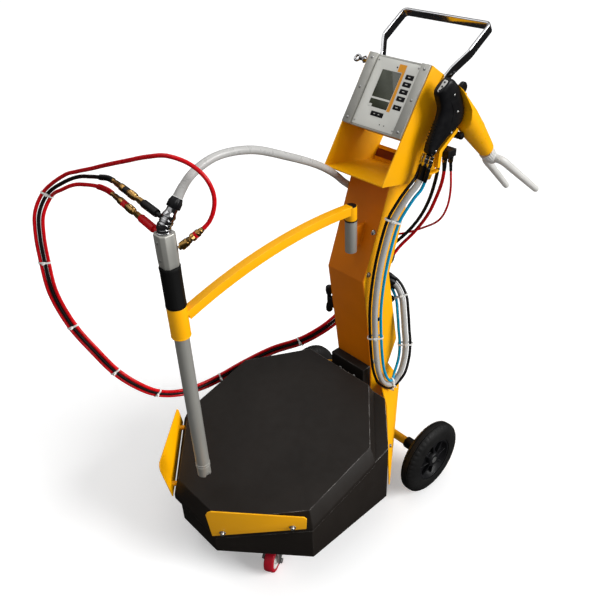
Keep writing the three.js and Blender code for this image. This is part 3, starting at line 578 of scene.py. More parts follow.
LANCE_TIES = (0, 3, 5, 7, 9, 12, 15)
GUN_TIES = (3, 7, 11, 14, 17)


def bend_between(piece, first, second):
    if second is None:
        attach(piece, first)
    else:
        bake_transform(piece)


def nearest(line, point):
    return min(range(len(line)), key=lambda k: (line[k] - Vector(point)).length)


def add_hoses():
    """Each hose is a mesh tube; one that crosses two joints is two tubes end to end."""
    for name, (points, diameter, material, split, bends) in HOSES.items():
        stretches = [points] if split is None else [points[:split + 1], points[split:]]
        whole = smooth_line(points, 0.005)
        for i, (stretch, (first, second, span)) in enumerate(zip(stretches, bends)):
            first_point, last_point = (nearest(whole, stretch[end]) for end in (0, -1))
            line = whole[first_point:last_point + 1]
            part_name = f"{name}_tube" if split is None else f"{name}_{'far' if i else 'near'}"
            tube = Piece().tube([p * 1000 for p in line], diameter * 500, sides=14).done(
                part_name, material, None, replaces=[name], smooth=60)
            bend_between(tube, first, second)


def add_ties(bundle, marks, reach, half, name, first, second):
    """Nylon ties round a flat bundle: reach is half its width, and half its thickness."""
    for mark in marks:
        along, side, up = beside_frame(bundle, mark)
        turn = Matrix((side, up, side.cross(up))).transposed().to_4x4()
        place = Matrix.Translation(Vector(bundle[mark]) * 1000) @ turn
        tie = Piece(place)
        rows = []
        for k in range(28):
            x, y = superpoint(2 * math.pi * k / 28, reach, half, 3.2)
            grow = 1 + 1.3 / math.hypot(x, y)
            rows.append([(x, y, -2.2), (x * grow, y * grow, -2.2), (x * grow, y * grow, 2.2), (x, y, 2.2)])
        tie.rings(rows, closed=True)
        tie.box(-2, half + 0.3, -3, 4.5, half + 4.6, 3)
        tie.box(-1.2, half + 4.6, -1.3, -0.2, half + 11, 1.3)
        piece = tie.done(f"{name}_{mark}", "tie_nylon", None, bevel=0.35, smooth=50)
        bend_between(piece, first, second)


def add_all_cords():
    add_hoses()
    add_ties(LANCE_BUNDLE, LANCE_TIES, 13.4, 4.4, "lance_tie", "arm", "chassis")
    add_ties(GUN_BUNDLE, GUN_TIES, 18, 7.4, "gun_tie", "gun", "chassis")


# ---------- screws ----------
def socket_screw(piece, place, radius, height, washer=0.0):
    """A socket-head screw, on a washer if it has one, its head rising along Z."""
    foot = 0.0
    if washer:
        bore = radius * 0.9
        piece.turned([(bore, 0), (washer, 0), (washer, 0.9), (washer - 0.3, 1.2), (bore, 1.2)], place, 28)
        foot = 1.2
    piece.turned([
        (radius, foot), (radius, foot + height * 0.8), (radius * 0.88, foot + height),
        (radius * 0.55, foot + height), (radius * 0.5, foot + height * 0.45), (0.1, foot + height * 0.4),
    ], place, 24)


def pan_screw(piece, place, radius, height):
    """A low domed screw with a sunk middle."""
    piece.turned([
        (radius, 0), (radius, height * 0.35), (radius * 0.82, height * 0.8), (radius * 0.5, height),
        (radius * 0.34, height), (radius * 0.2, height * 0.45), (0.05, height * 0.4),
    ], place, 24)


def add_screws(name, body, head, places, *size, base=IN_PLACE, bevel=0):
    """Screws of one kind as one piece; size is a head's radius, height and washer."""
    screws = Piece(base)
    for place in places:
        head(screws, place, *size)
    screws.done(name, "zinc_steel", body, bevel=bevel)


# ---------- base, platform and stops ----------
DECK_SLOPE = 0.265
DECK_MIDDLE = 242  # height above the part's own origin
STOP_FACING = (0.676, -0.737, -0.17)


def deck_height(y):
    return DECK_MIDDLE + DECK_SLOPE * (y - ROW_SHIFT)


def add_base():
    dress("base_housing", "brown_paint", bevel=1.6, smooth=28)
    dress("platform_lid", "brown_paint", bevel=1.3, smooth=18)
    dress("vibration_motor", "motor_casting", bevel=1.5)
    # ribs and end covers of the vibrator
    ribs = Piece(aimed((0, middle("vibration_motor").y, low("vibration_motor").z + 42), (1, 0, 0)))
    for k in range(9):
        z = -52 + 13 * k
        ribs.turned([(41.5, z - 2), (44.5, z - 1), (44.5, z + 1), (41.5, z + 2)], sides=40)
    for side in (-1, 1):
        ribs.turned([(36, side * 69), (40, side * 71), (38, side * 78), (12, side * 81), (10, side * 79)], sides=40)
    ribs.done("vibrator_ribs", "motor_casting", "platform", bevel=0.6)
    # rubber mounts between base and platform
    for i, (x, y) in enumerate(((-165, -190), (165, -190), (-165, -60), (165, -60))):
        z = deck_height(y)
        profile = [(13, z - 62), (15, z - 58), (12.5, z - 46), (15, z - 34), (13, z - 28), (0.1, z - 28)]
        Piece().turned(profile, at(x, y), 28).done(f"rubber_mount_{i + 1}", "tyre_rubber")


def add_stops():
    """Bolts of the two yellow stops, square to the leaning plates."""
    x, y, z = STOP_FACING
    for side, name in SIDES:
        dress(f"box_stop_{name}", "yellow_paint", bevel=0.9)
        places = []
        for along in (18, 172.6):
            foot = Vector((side * (80 + along * 0.7352), -454.4 + along * 0.6778, 0))
            foot += Vector((side * x, y, 0)) * (0.5 + 3.2 + 0.17 * 15)
            foot.z = deck_height(foot.y) + 16
            places.append(aimed(foot, Vector((side * x, y, z)).normalized()))
        add_screws(f"stop_bolts_{name}", "platform", socket_screw, places, 4.6, 4.6, 7.5, bevel=0.25)


# ---------- column, chassis plates and head ----------
CABINET = (52.4, 76, 124, 167)  # half width, front, rear end of its sides, back
CABINET_FLAT = 24  # half width of its back between the slanted corners
LID_THICKNESS = 2.5
GUSSET_FACING = (0.81, 0.57, 0.15)


def behind_cabinet(point):
    """How far a point is from the cabinet's rear faces, measured along Y."""
    half, _, side, back = CABINET
    slant = (back - side) / (half - CABINET_FLAT)
    return point.y - back - LID_THICKNESS + max(0, abs(point.x) - CABINET_FLAT) * slant


def add_column():
    # the spine front gets the yellow paint darkened as painted shade
    dress("spine_front", "column_paint", bevel=1.2, smooth=12, segments=4)
    x, y, z = GUSSET_FACING
    for side, name in reversed(SIDES):
        dress(f"side_plate_{name}", "yellow_paint", smooth=30)
        outward = (side, 0, 0)
        places = [aimed((side * 56, *spot), outward) for spot in ((70, 700), (57, 596), (80, 330), (122, 200))]
        add_screws(f"plate_screws_{name}", "chassis", socket_screw, places, 4.2, 3.4, 6.6, bevel=0.2)
        plugs = Piece()
        for spot in ((96, 452), (150, 176)):
            plugs.turned([(5.6, 0), (5.6, 0.5), (4.6, 1.1), (0.1, 1.2)], aimed((side * 56, *spot), outward), 24)
        plugs.done(f"hole_plugs_{name}", "black_plastic")
        feet = ((186, -1.8, 188), (77, 131, 219))
        places = [aimed((side * foot[0], *foot[1:]), (side * x, y, z)) for foot in feet]
        add_screws(f"gusset_bolts_{name}", "chassis", socket_screw, places, 4.4, 4, 7, bevel=0.2)
    dress("foot_cover", "brown_paint", bevel=2.0, segments=4)
    front = low("foot_cover").y
    places = [aimed((x, front, 286), (0, -1, 0)) for x in (24, -24)]
    add_screws("cover_screws", "chassis", pan_screw, places, 4.4, 2.4)
    add_cabinet()


def add_cabinet():
    """The closed cabinet between the side plates takes the hoses."""
    half, front, side, back = CABINET
    flat = CABINET_FLAT
    outline = rounded_outline([(-half, front), (half, front), (half, side), (flat, back), (-flat, back),
                               (-half, side)], 6)
    Piece().prism(outline, 452, 662).done("column_cabinet", "black_plastic", bevel=1.5, segments=3)
    rearward = aimed((0, back, 557), (0, 1, 0))
    Piece().prism(plaque(21, 98, 6), 0, LID_THICKNESS, rearward).done(
        "cabinet_lid", "black_plastic", bevel=0.8)
    places = [aimed((x, back + LID_THICKNESS, z), (0, 1, 0)) for x in (-15, 15) for z in (467, 647)]
    add_screws("cabinet_screws", "chassis", pan_screw, places, 3, 1.8)


def add_head():
    dress("head_housing", "yellow_paint", bevel=0.9, smooth=28)
    # a thin dark sheet on the shelf's inner rear wall paints the shade that falls there
    rear_lip = aimed((0, 229, 798), (0, -0.82, 0.57))
    Piece().prism(rounded_outline(rectangle(-82, -5, 82, 14), 2), 0, 1.2, rear_lip).done(
        "lip_shade_sheet", "lip_painted_shade", bevel=0.4)
    dress("hose_outlets", "black_plastic", bevel=1.6)
    foot, top = low("lead_cleat"), high("lead_cleat")
    post = at(foot.x + 8.6, foot.y + 9, (foot.z + top.z) / 2)
    cleat = Piece(post)
    cleat.turned(mirrored([(0.1, -38), (5.6, -37.4), (8.2, -34), (8.8, -26), (7.4, -17), (5.2, -11)]))
    cleat.prism(rounded_outline(rectangle(-17, -7, 8, 7), 3), 4, top.x - foot.x - 8.6,
                aimed((0, 0, 0), (1, 0, 0)) @ spun(math.pi / 2, "Z"))
    cleat.done("cleat_knobs", "black_plastic", replaces=["lead_cleat"], bevel=0.6, smooth=50)


# ---------- control unit ----------
PANEL_TILT = math.atan2(0.822, 0.569)
PANEL = at(0, 117.6, 907.5) @ spun(PANEL_TILT, "X")
KEY_ROWS = (124.3, 109, 93.5, 78, 59)


def add_control_unit():
    dress("control_case", "bare_aluminium", bevel=0.9)
    dress("control_panel", "panel_foil", bevel=0.5)
    dress("display_screen", "display", bevel=0.4)
    for key in (1, 2, 3, 4, 5, "wide"):
        dress(f"key_{key}", "key_rubber", bevel=1.1, segments=4)
    # bar between the display and the status strip, a step in the strip's corner, and the printed stripe
    Piece(PANEL).prism(rounded_outline(rectangle(-34.7, 65.4, 16.7, 69.4), 0.4), -2.1, -1.7).done(
        "display_bar", "panel_foil")
    Piece(PANEL).prism(rectangle(-34.7, 48.3, -25, 54), -2.1, -1.8).done("strip_corner", "panel_foil")
    stripe = [(18.5, 46), (27, 46), (23.8, 147), (4.4, 147), (5.0, 130.5), (18.0, 130.5)]
    Piece(PANEL).prism(stripe, -1.95, -1.75).done("panel_stripe", "print_orange")
    # three small lamps and a plain mark on each key
    lamps = Piece(PANEL).turned([(1.7, -2), (1.7, -1.4), (1.2, -1.0), (0.1, -0.9)], at(1, 139), 20)
    for x in (16, 28):
        lamps.turned([(1.2, -2), (1.2, -1.5), (0.1, -1.3)], at(x, 16), 16)
    lamps.done("panel_lamps", "key_rubber")
    marks = {i + 1: [(38, y - 0.7, 44, y + 0.7, 0.6)] for i, y in enumerate(KEY_ROWS)}
    marks["wide"] = [(x - 2, 34.4, x + 2, 35.6, 0.5) for x in (-8, 4)]
    for key, bars in marks.items():
        mark = Piece(PANEL)
        for *corners, radius in bars:
            mark.prism(rounded_outline(rectangle(*corners), radius), -0.85, -0.65)
        mark.done(f"key_mark_{key}", "panel_foil", f"key_{key}")
    places = [at(x, y, 2.9) for y in (80.7, 11.9, 147) for x in (-71.5, 71.5)]
    add_screws("case_screws", "chassis", pan_screw, places, 3.1, 1.7, base=PANEL)
    places = [at(x, y, -2.1) for y in (11.5, 147) for x in (-54, 54)]
    add_screws("panel_screws", "chassis", pan_screw, places, 2.2, 1.1, base=PANEL)
    # cooling ribs and sockets on the back of the case
    ribs = Piece(PANEL)
    for k in range(9):
        x = -60 + 15 * k
        ribs.prism(rectangle(x - 1.5, 82, x + 1.5, 146), -93, -84.5)
    ribs.done("case_ribs", "bare_aluminium", bevel=0.6)
    sockets = Piece(PANEL)
    for x in (-52, -22, 8, 38):
        sockets.turned([(9, -84.5), (9, -91), (8, -92.5), (6.2, -92.5), (5.6, -87), (0.1, -86.6)], at(x, 46), 28)
    sockets.done("case_sockets", "black_plastic", bevel=0.4)


def add_handle():
    """A flat bar bent round the back; its corners are arcs."""
    tilt = Vector((0, -0.52, 0.85)).normalized()
    right = [(89.6, 233.6, 986), (89.6, 249.6, 1004), (95, 261.6, 1018), (115, 287.6, 1048), (115, 337.6, 1079),
             (115, 356.3, 1090.4)]
    radius = [0, 8, 10, 16, 12, 24]
    left = [(-x, y, z) for x, y, z in reversed(right)]
    line = rounded_outline([*right, *left], [*radius, *reversed(radius)], 7)
    section = plaque(10, 3, 1.6, 3)
    rows = []
    for i, point in enumerate(line):
        along = (line[min(i + 1, len(line) - 1)] - line[max(i - 1, 0)]).normalized()
        out = along.cross(tilt).normalized()
        rows.append([point + tilt * a + out * b for a, b in section])
    Piece().rings(rows).done("handle_bar", "chrome_steel", replaces=["push_handle"], smooth=50)


# ---------- axle and rear wheels ----------
def add_wheels():
    dress("axle", "yellow_paint", bevel=0.6)
    collar = [(11.3, -74), (13.5, -74), (15, -72), (15, -40), (13.5, -38), (13, -21.5), (11.3, -21.5)]
    for side, name in SIDES:
        outward = aimed(middle(f"wheel_tyre_{name}"), (side, 0, 0))
        add_tyre(name, outward)
        add_hub(name, outward)
        Piece(outward).turned(collar, closed=True).done(f"axle_collar_{name}", "black_plastic", bevel=0.5)


def add_tyre(name, place):
    """A solid tyre with three ribs round it and cross cuts on both shoulders."""
    radius, half, hub = 98, 20, 58
    profile = mirrored([
        (hub, -half + 1), (hub + 3, -half), (radius - 18, -half + 0.5), (radius - 13, -half + 1.8),
        (radius - 7, -half + 4.5), (radius - 3.2, -half + 7.5), (radius - 1.2, -half + 10.2),
        (radius - 0.6, -7.6), (radius - 3.2, -7.0), (radius - 3.2, -5.2), (radius - 0.2, -4.6), (radius, 0),
    ])
    lugs, steps = 44, 4
    rows = []
    for k, (c, s) in enumerate(circle(lugs * steps)):
        cut = 1.7 if k % steps == 0 else 0
        row = []
        for r, z in profile:
            shoulder = radius - 8 < r < radius - 0.9 and abs(z) > 7.3
            depth = r - cut if shoulder else r
            row.append((depth * c, depth * s, z))
        rows.append(row)
    Piece(place).rings(rows, closed=True).done(
        f"tyre_{name}", "tyre_rubber", f"wheel_{name}", replaces=[f"wheel_tyre_{name}"], smooth=34)


def add_hub(name, place):
    """A dished disc with ribs, a boss with its bearing, and a washer on the axle end."""
    hub = Piece(place)
    hub.turned([
        (8.1, -20), (18, -20), (20, -18), (21, -7), (24, -5), (44, -5), (48, -9), (57.6, -17), (57.6, 17),
        (53, 17), (48, 8), (44, 5), (24, 5), (21, 7), (19, 16), (17, 18), (8.1, 18),
    ], sides=56, closed=True)
    for k in range(8):
        turn = spun(2 * math.pi * k / 8, "Z")
        for face in (1, -1):
            rib = [(20, 4 * face), (52, 4 * face), (52, 12 * face), (20, 15 * face)]
            hub.prism(rib, -1.6, 1.6, turn @ spun(math.pi / 2, "X"))
    hub.done(f"hub_{name}", "hub_plastic", f"wheel_{name}", replaces=[f"wheel_hub_{name}"], bevel=0.7, smooth=35)
    washer = [(8.2, 16), (12.5, 16), (12.5, 17.2), (8.3, 17.6), (8.3, 18.2)]
    Piece(place).turned(washer).done(f"hub_{name}_washer", "zinc_steel", f"wheel_{name}", bevel=0.3)


# ---------- casters ----------
CASTER_AXLE = (0.877, 0.48, 0)
CASTER_SLANT = 0.7185  # turn of the plate's bolts, square to the base's slanted front
CASTER_BOLT_CIRCLE = 31


def add_casters():
    for side, name in SIDES:
        wheel, plate = f"caster_wheel_{name}", f"caster_plate_{name}"
        dress(plate, "zinc_steel", bevel=0.6)
        dress(f"caster_fork_{name}", "zinc_steel")
        centre = middle(plate)
        places = []
        for corner in range(4):
            turn = Matrix.Rotation(side * CASTER_SLANT + (0.5 + corner) * math.pi / 2, 3, "Z")
            reach = turn @ Vector((CASTER_BOLT_CIRCLE, 0, 0))
            places.append(aimed((centre.x + reach.x, centre.y + reach.y, high(plate).z - 3), (0, 0, -1)))
        add_screws(f"caster_screws_{name}", "chassis", pan_screw, places, 4, 2.4)
        place = aimed(middle(wheel), (side * CASTER_AXLE[0], *CASTER_AXLE[1:]))
        radius = (high(wheel).z - low(wheel).z) / 2
        Piece(place).turned(mirrored([
            (radius - 9, -11), (radius - 3, -12), (radius - 1.2, -11), (radius - 0.2, -8), (radius, 0),
        ]), sides=56, closed=True).done(f"caster_tread_{name}", "caster_tread", wheel, replaces=[wheel], smooth=50)
        Piece(place).turned(mirrored([
            (4.1, -13.5), (9, -13.5), (10, -12), (12, -8), (17, -7.5), (radius - 11, -10.5),
            (radius - 8.6, -10.8),
        ]), sides=48, closed=True).done(f"caster_rim_{name}", "gun_white", wheel, bevel=0.3)
        nuts = Piece(place)
        for end in (-1, 1):
            nuts.turned([(7, end * 19.2), (7, end * 23.4), (5.8, end * 24.6), (0.1, end * 24.6)], sides=6)
        nuts.done(f"caster_nuts_{name}", "zinc_steel", f"caster_fork_{name}", bevel=0.3)


# ---------- swing arm and lance ----------
def add_arm():
    dress("swing_arm", "yellow_paint", bevel=1.6, segments=4, smooth=24)
    dress("arm_bearing", "bare_aluminium")
    sleeve, lance = middle("arm_bearing"), middle("suction_tube")
    top, socket = high("swing_arm").z, low("swing_arm").z
    seal = high("arm_bearing").z + 0.2
    bearing = at(sleeve.x, sleeve.y)
    Piece(bearing).turned([
        (10, seal - 1.2), (14.4, seal - 1.2), (14.9, seal), (14.4, seal + 1.6), (10, seal + 1.6),
    ], sides=40).done("bearing_seal", "tyre_rubber", "arm")
    Piece(bearing).turned([
        (12.6, top - 5), (12.6, top - 3.5), (11.4, top - 2.9), (4.5, top - 2.6), (3.6, top - 3.6), (0.1, top - 3.8),
    ], sides=36).done("arm_cap", "black_plastic", "arm", bevel=0.3)
    Piece(at(lance.x, lance.y)).turned([
        (15.4, socket - 0.4), (19.1, socket - 0.4), (19.8, socket + 1), (19.8, socket + 2.4),
        (19.3, socket + 3), (15.4, socket + 3),
    ], sides=48, closed=True).done("socket_rim", "yellow_paint", "arm", smooth=50)


def add_lance():
    axis = middle("suction_tube")
    foot = low("suction_tube").z
    grip_foot, grip_top = low("lance_grip").z, high("lance_grip").z
    block_foot, block_top = low("pump_block").z, high("pump_block").z
    lance = at(axis.x, axis.y)
    # the tube, notched at its foot, with two collars above the notches
    radius, bore = 15, 13
    rows = []
    levels = [foot, foot + 4, foot + 11, foot + 12, *range(int(foot) + 40, int(block_foot) - 20, 24)]
    for level, z in enumerate(levels):
        notched = level == 0
        rows.append([(radius * c, radius * s, z + (11 if notched and abs(s) < 0.3 else 0)) for c, s in circle(48)])
    for row in rows[::-1]:
        rows.append([(x * bore / radius, y * bore / radius, z) for x, y, z in row])
    Piece(lance).rings(rows, closed=True).done(
        "lance_tube", "bare_aluminium", "lance", replaces=["suction_tube"], smooth=50)
    band = Piece(lance)
    for z in (foot + 26, foot + 33):
        band.turned([(15, z - 1.4), (15.7, z - 1), (15.7, z + 1), (15, z + 1.4)], sides=48)
    band.done("lance_bands", "bare_aluminium", "lance")
    Piece(lance).turned([
        (15.4, grip_foot), (19.4, grip_foot), (20.3, grip_foot + 1.5), (20.1, grip_foot + 6),
        (19.7, grip_foot + 14), (19.6, grip_top - 14), (19.9, grip_top - 6), (20.2, grip_top - 1.5),
        (19.2, grip_top), (15.4, grip_top),
    ], sides=56, closed=True).done("grip_sleeve", "grip_rubber", "lance", replaces=["lance_grip"], smooth=50)
    # pump block: an octagon with rounded edges, waisted a little at its foot
    corners = [(-17, -10), (-10, -17), (10, -17), (17, -10), (17, 10), (10, 17), (-10, 17), (-17, 10)]
    outline = rounded_outline(corners, 3.5, 4)
    waist = ((0.93, block_foot), (0.96, block_foot + 1), (0.985, block_foot + 9), (1, block_foot + 20),
             (1, block_top - 1.6), (0.97, block_top - 0.4), (0.93, block_top))
    Piece(lance).rings([[(x * s, y * s, z) for x, y in outline] for s, z in waist]).done(
        "pump_body", "bare_aluminium", "lance", replaces=["pump_block"], smooth=45)
    places = []
    for z in (block_foot + 16, block_top - 14):
        places += [aimed((0, -17, z), (0, -1, 0)), aimed((-17, 0, z), (-1, 0, 0))]
    add_screws("pump_screws", "lance", socket_screw, places, 2.6, 1.4, base=lance)
    add_injector(lance, block_top)


def add_injector(lance, foot):
    Piece(lance).turned([
        (13.5, foot), (13.5, foot + 2.5), (12, foot + 3.2), (12, foot + 8), (11.2, foot + 9), (12.2, foot + 10),
        (12.2, foot + 14), (9, foot + 19), (0.1, foot + 20),
    ], sides=40).done("injector_neck", "chrome_steel", "lance", bevel=0.2)
    lean = lance @ at(0, 0, foot + 9) @ spun(-0.7, "X")
    Piece(lean).turned([
        (0.1, 0), (12.4, 0), (13.2, 1.5), (13.2, 6), (12.2, 7), (12.2, 9), (13, 10), (13, 15), (11.6, 16.4),
        (11.6, 20), (12.8, 21), (12.6, 25), (10.6, 29), (10, 32), (10, 38), (8.2, 38), (8, 30), (0.1, 29),
    ], sides=44).done(
        "injector_barrel", "chrome_steel", "lance", replaces=["injector_body"], bevel=0.25, smooth=30)
    Piece(lean).rings(fluted([
        (38.4, 8.4, 0), (38.4, 12.2, 0.3), (39.5, 13, 0.9), (50, 13, 0.9), (52, 12, 0.4), (57, 10.4, 0.1),
        (58, 9.8, 0), (58, 8.4, 0),
    ], 12), closed=True).done("injector_nut", "black_plastic", "lance", replaces=["hose_nut"], smooth=40)


# ---------- couplings ----------
COUPLINGS = {  # start, end, finish of its band, finish of its boot
    "black": ((-14, -403.4, 895), (-172, -402.4, 914), "hose_black", "hose_black"),
    "red": ((-18, -412.4, 866), (-172, -409.4, 890), "hose_red", "hose_red"),
    "air": ((15.8, -395.6, 840), (38, -355.4, 871), "hose_red", "fitting_brass"),
}
BOOT_SHARE = 0.36


def add_couplings():
    """Each has a boot, a hexagon, a ribbed sleeve with a coloured band and a tail."""
    for name, (start, end, colour, boot) in COUPLINGS.items():
        start, end = Vector(start), Vector(end)
        place = aimed(start, end - start)
        length = (end - start).length
        foot = length * BOOT_SHARE

        def points(*pairs):
            """Radius and place, as a share of the length that is left after the boot."""
            return [(r, foot + (length - foot) * t) for r, t in pairs]

        Piece(place).turned([
            (0.1, 0), (4.5, 0), (4.6, length * 0.08), (7.4, length * 0.082), (7.8, length * 0.1), (7.8, foot - 2),
            (7.2, foot), (0.1, foot),
        ], sides=28).done(f"coupling_boot_{name}", boot, "lance", bevel=0.3, smooth=50)
        body = Piece(place)
        body.turned(points((0.1, 0), (6.6, 0), (6.6, 0.14), (5.6, 0.15), (5.6, 0.2), (0.1, 0.2)), sides=6)
        body.turned(points(
            (0.1, 0.19), (5.2, 0.19), (5.2, 0.24), (7.2, 0.26), (7.4, 0.3), (7.4, 0.44), (6.6, 0.46), (6.6, 0.6),
            (7.2, 0.62), (7.2, 0.72), (5.8, 0.75), (5.4, 0.9), (4.7, 0.92), (4.7, 1), (0.1, 1),
        ))
        for k in range(5):
            (_, z), = points((0, 0.31 + 0.025 * k))
            body.turned([(7.3, z - 0.6), (7.9, z), (7.3, z + 0.6)])
        body.done(f"coupling_body_{name}", "fitting_brass", "lance", replaces=[f"coupling_{name}"], bevel=0.2,
                  smooth=35)
        Piece(place).turned(points((6.5, 0.47), (7.05, 0.475), (7.05, 0.595), (6.5, 0.6))).done(
            f"coupling_band_{name}", colour, "lance", bevel=0.15)


def add_spring_guards():
    """Wire springs over the first centimetres of the two lance hoses, against kinking."""
    for name, lead, colour in (("black", BLACK_LEAD, "hose_black"), ("red", PUMP_LEAD, "hose_red")):
        line = in_mm(lead[:4], 1.0)[:52]
        turns, steps = 12, 12
        coil = []
        for k in range(turns * steps + 1):
            t = k / (turns * steps) * (len(line) - 2)
            i = int(t)
            point = line[i].lerp(line[i + 1], t - i)
            along = (line[i + 1] - line[i]).normalized()
            side = along.cross(Vector((0, 0, 1))).normalized()
            angle = 2 * math.pi * k / steps
            coil.append(point + (side * math.cos(angle) + side.cross(along) * math.sin(angle)) * 5.1)
        Piece().tube(coil, 0.8, sides=8).done(f"spring_guard_{name}", colour, "lance", smooth=60)


# ---------- spray gun: +Y along the barrel, +Z out of its top, origin in the middle of the rear cap ----------
GUN = at(120, 193.1, 1002.5) @ spun(math.radians(-10.9), "Z") @ spun(math.radians(-47.1), "X")
SIDE_VIEW = Matrix(((0, 0, 1, 0), (1, 0, 0, 0), (0, 1, 0, 0), (0, 0, 0, 1)))  # an outline in y, z pushed along x
BARREL_DROP = 0.07


def add_gun():
    add_gun_body()
    add_gun_barrel()
    add_gun_nozzle()
    add_gun_trigger()
    add_gun_details()


def add_gun_body():
    """Housing and grip: rounded cross sections along the middle line of the side outline."""
    # rear and front outline points of each section, its half width and how square it is
    sections = [
        ((-4.2, 0), (-3.8, 10), 4, 2.4), ((-4, -11), (-3, 21), 11, 2.8), ((-2.4, -15), (-0.5, 25), 13.2, 3),
        ((3, -19), (5, 28), 13.8, 3), ((13, -23), (15, 31), 13.8, 3), ((24, -27), (33, 29), 13.4, 3),
        ((33, -34), (58, 22), 13, 3), ((38, -42), (84, 12.5), 13, 3), ((43, -52), (104, -9), 13, 3),
        ((48, -62), (98, -32), 12.6, 2.8), ((53, -74), (94.5, -54), 12, 2.5),
        ((58, -86), (93.4, -74), 11.8, 2.4), ((64, -97), (93.4, -92), 12, 2.5),
        ((71, -107), (93.6, -103), 12.4, 2.8), ((75, -111.4), (92, -107), 11.4, 2.8),
    ]
    count = 32
    rows = []
    for rear, front, half, power in sections:
        rear, front = Vector((0, *rear)), Vector((0, *front))
        centre, reach = (rear + front) / 2, (front - rear) / 2
        points = [superpoint(2 * math.pi * k / count, half, 1, power) for k in range(count)]
        rows.append([centre + reach * along + Vector((across, 0, 0)) for across, along in points])
    Piece(GUN).rings(rows).done(
        "gun_housing", "black_plastic", "gun", replaces=["gun_body"], smooth=60, subdivide=1)
    # seam between the two half shells and ribs on the back of the grip
    seam = Piece(GUN)
    for face in (-1, 1):
        line = [(12.9, 20, -4), (13.2, 50, -12), (12.9, 72, -34), (12.2, 78, -64), (12.2, 82, -92)]
        seam.tube(smooth_line([(face * x, y, z) for x, y, z in line], 4), 0.45, sides=6)
    seam.done("gun_seams", "key_rubber", "gun", smooth=60)
    ribs = Piece(GUN)
    for k in range(7):
        t = k / 6
        rear = Vector((0, 45 + 17 * t, -58 - 36 * t))
        ribs.tube([rear + Vector((x, 1.2 + 0.018 * x * x, 0)) for x in range(-8, 9, 2)], 1.1, sides=8)
    ribs.done("grip_ribs", "grip_rubber", "gun", smooth=60)


def add_gun_barrel():
    """The yellow shell: round sections cut off below by the black housing's edge."""
    levels = [  # place along the barrel, height of the cut, radius
        (24, 30, 20), (32, 29, 23), (44, 26, 25.4), (60, 21.7, 25.8), (74, 17.5, 26.2), (84.6, 14, 26.4),
        (92, 5.5, 26.6), (100, -3.5, 26.8), (108, -12.6, 27), (112, -19, 26.9), (120, -40, 26.4),
        (134, -40, 25.7), (150, -40, 25), (165, -40, 23.6), (185, -40, 21.6), (205, -40, 19.7),
        (217, -40, 18.5), (221, -40, 17.2), (222, -40, 15),
    ]
    rows = []
    for y, bottom, radius in levels:
        centre = 10 - BARREL_DROP * y
        row = []
        for c, s in circle(40):
            z = max(bottom, centre + radius * s)
            x = radius * c
            if z == bottom:
                limit = math.sqrt(max(radius ** 2 - (bottom - centre) ** 2, 0.01))
                x = max(-limit, min(limit, x))
            row.append((x, y, z))
        rows.append(row)
    Piece(GUN).rings(rows).done(
        "gun_shell", "gun_yellow", "gun", replaces=["gun_barrel"], bevel=0.9, segments=3, smooth=35)
    ring = aimed((0, 150, 10 - BARREL_DROP * 150), (0, 1, -BARREL_DROP))
    Piece(GUN).turned([(25.1, -1.1), (25.35, -0.6), (25.2, 0.6), (24.9, 1.1)], ring, 56).done(
        "barrel_groove", "gun_yellow", "gun")


def add_gun_nozzle():
    """A ribbed union nut, the stem and a fork of two tapered prongs with rounded tips."""
    place = GUN @ at(0, 224, -9) @ spun(0.067, "X") @ spun(-0.26, "Y")
    along = spun(-math.pi / 2, "X")
    Piece(place @ along).rings(fluted([
        (0, 12, 0), (0, 16.4, 0.2), (2, 17, 0.8), (15, 16.6, 0.8), (18, 15.4, 0.3), (19, 14, 0), (19, 10, 0),
    ], 20)).done("nozzle_nut", "gun_white", "gun", smooth=40)
    fork = Piece(place)
    fork.turned([(14, 17), (14.2, 24), (13.6, 30), (12.5, 36), (9, 41), (0.1, 44)], along, 40)
    prong = [(0, 24), (9, 30), (18, 36), (23.6, 48), (27.5, 78), (34, 130), (40.6, 181)]
    for side in (-1, 1):
        line = smooth_line([(side * x, y, 0) for x, y in prong], 4)
        fork.tube(line, 9.2, sides=24, scale=lambda t: 1.05 - 0.25 * t)
    fork.prism(rounded_outline([(-22, 26), (22, 26), (24, 44), (12, 40), (0, 39), (-12, 40), (-24, 44)], 3), -5, 5)
    fork.done("nozzle_fork", "gun_white", "gun", replaces=["gun_nozzle"], bevel=1.2, segments=3, smooth=50)
    tips = Piece(place)
    for side in (-1, 1):
        tip = aimed((side * 40.6, 181, 0), (side * 0.128, 1, 0))
        tips.turned([(6.4, -0.2), (6.2, 2.2), (4, 3.2), (0.9, 3.4), (0.5, 5.6), (0.1, 5.8)], tip, 24)
    tips.done("nozzle_tips", "gun_white", "gun", smooth=40)


def add_gun_trigger():
    outline = rounded_outline([(100, -27), (108, -27), (107.4, -84), (131, -110), (125, -117), (98.5, -88)],
                              [1.5, 3, 10, 3, 3, 12], 6)
    Piece(GUN @ SIDE_VIEW).prism(outline, -6.6, 6.6).done(
        "trigger_bar", "gun_yellow", "trigger", replaces=["gun_trigger"], bevel=1.4, segments=3, smooth=40)
    bow = [(92, -108), (97, -122), (104, -134), (111, -138.5), (118, -136), (127, -127), (134, -116)]
    line = smooth_line([(0, *point) for point in bow], 3)
    Piece(GUN).swept(line, plaque(6, 1.6, 1.2, 3), up=(0, 1, 0)).done(
        "trigger_guard", "gun_yellow", "gun", smooth=50)


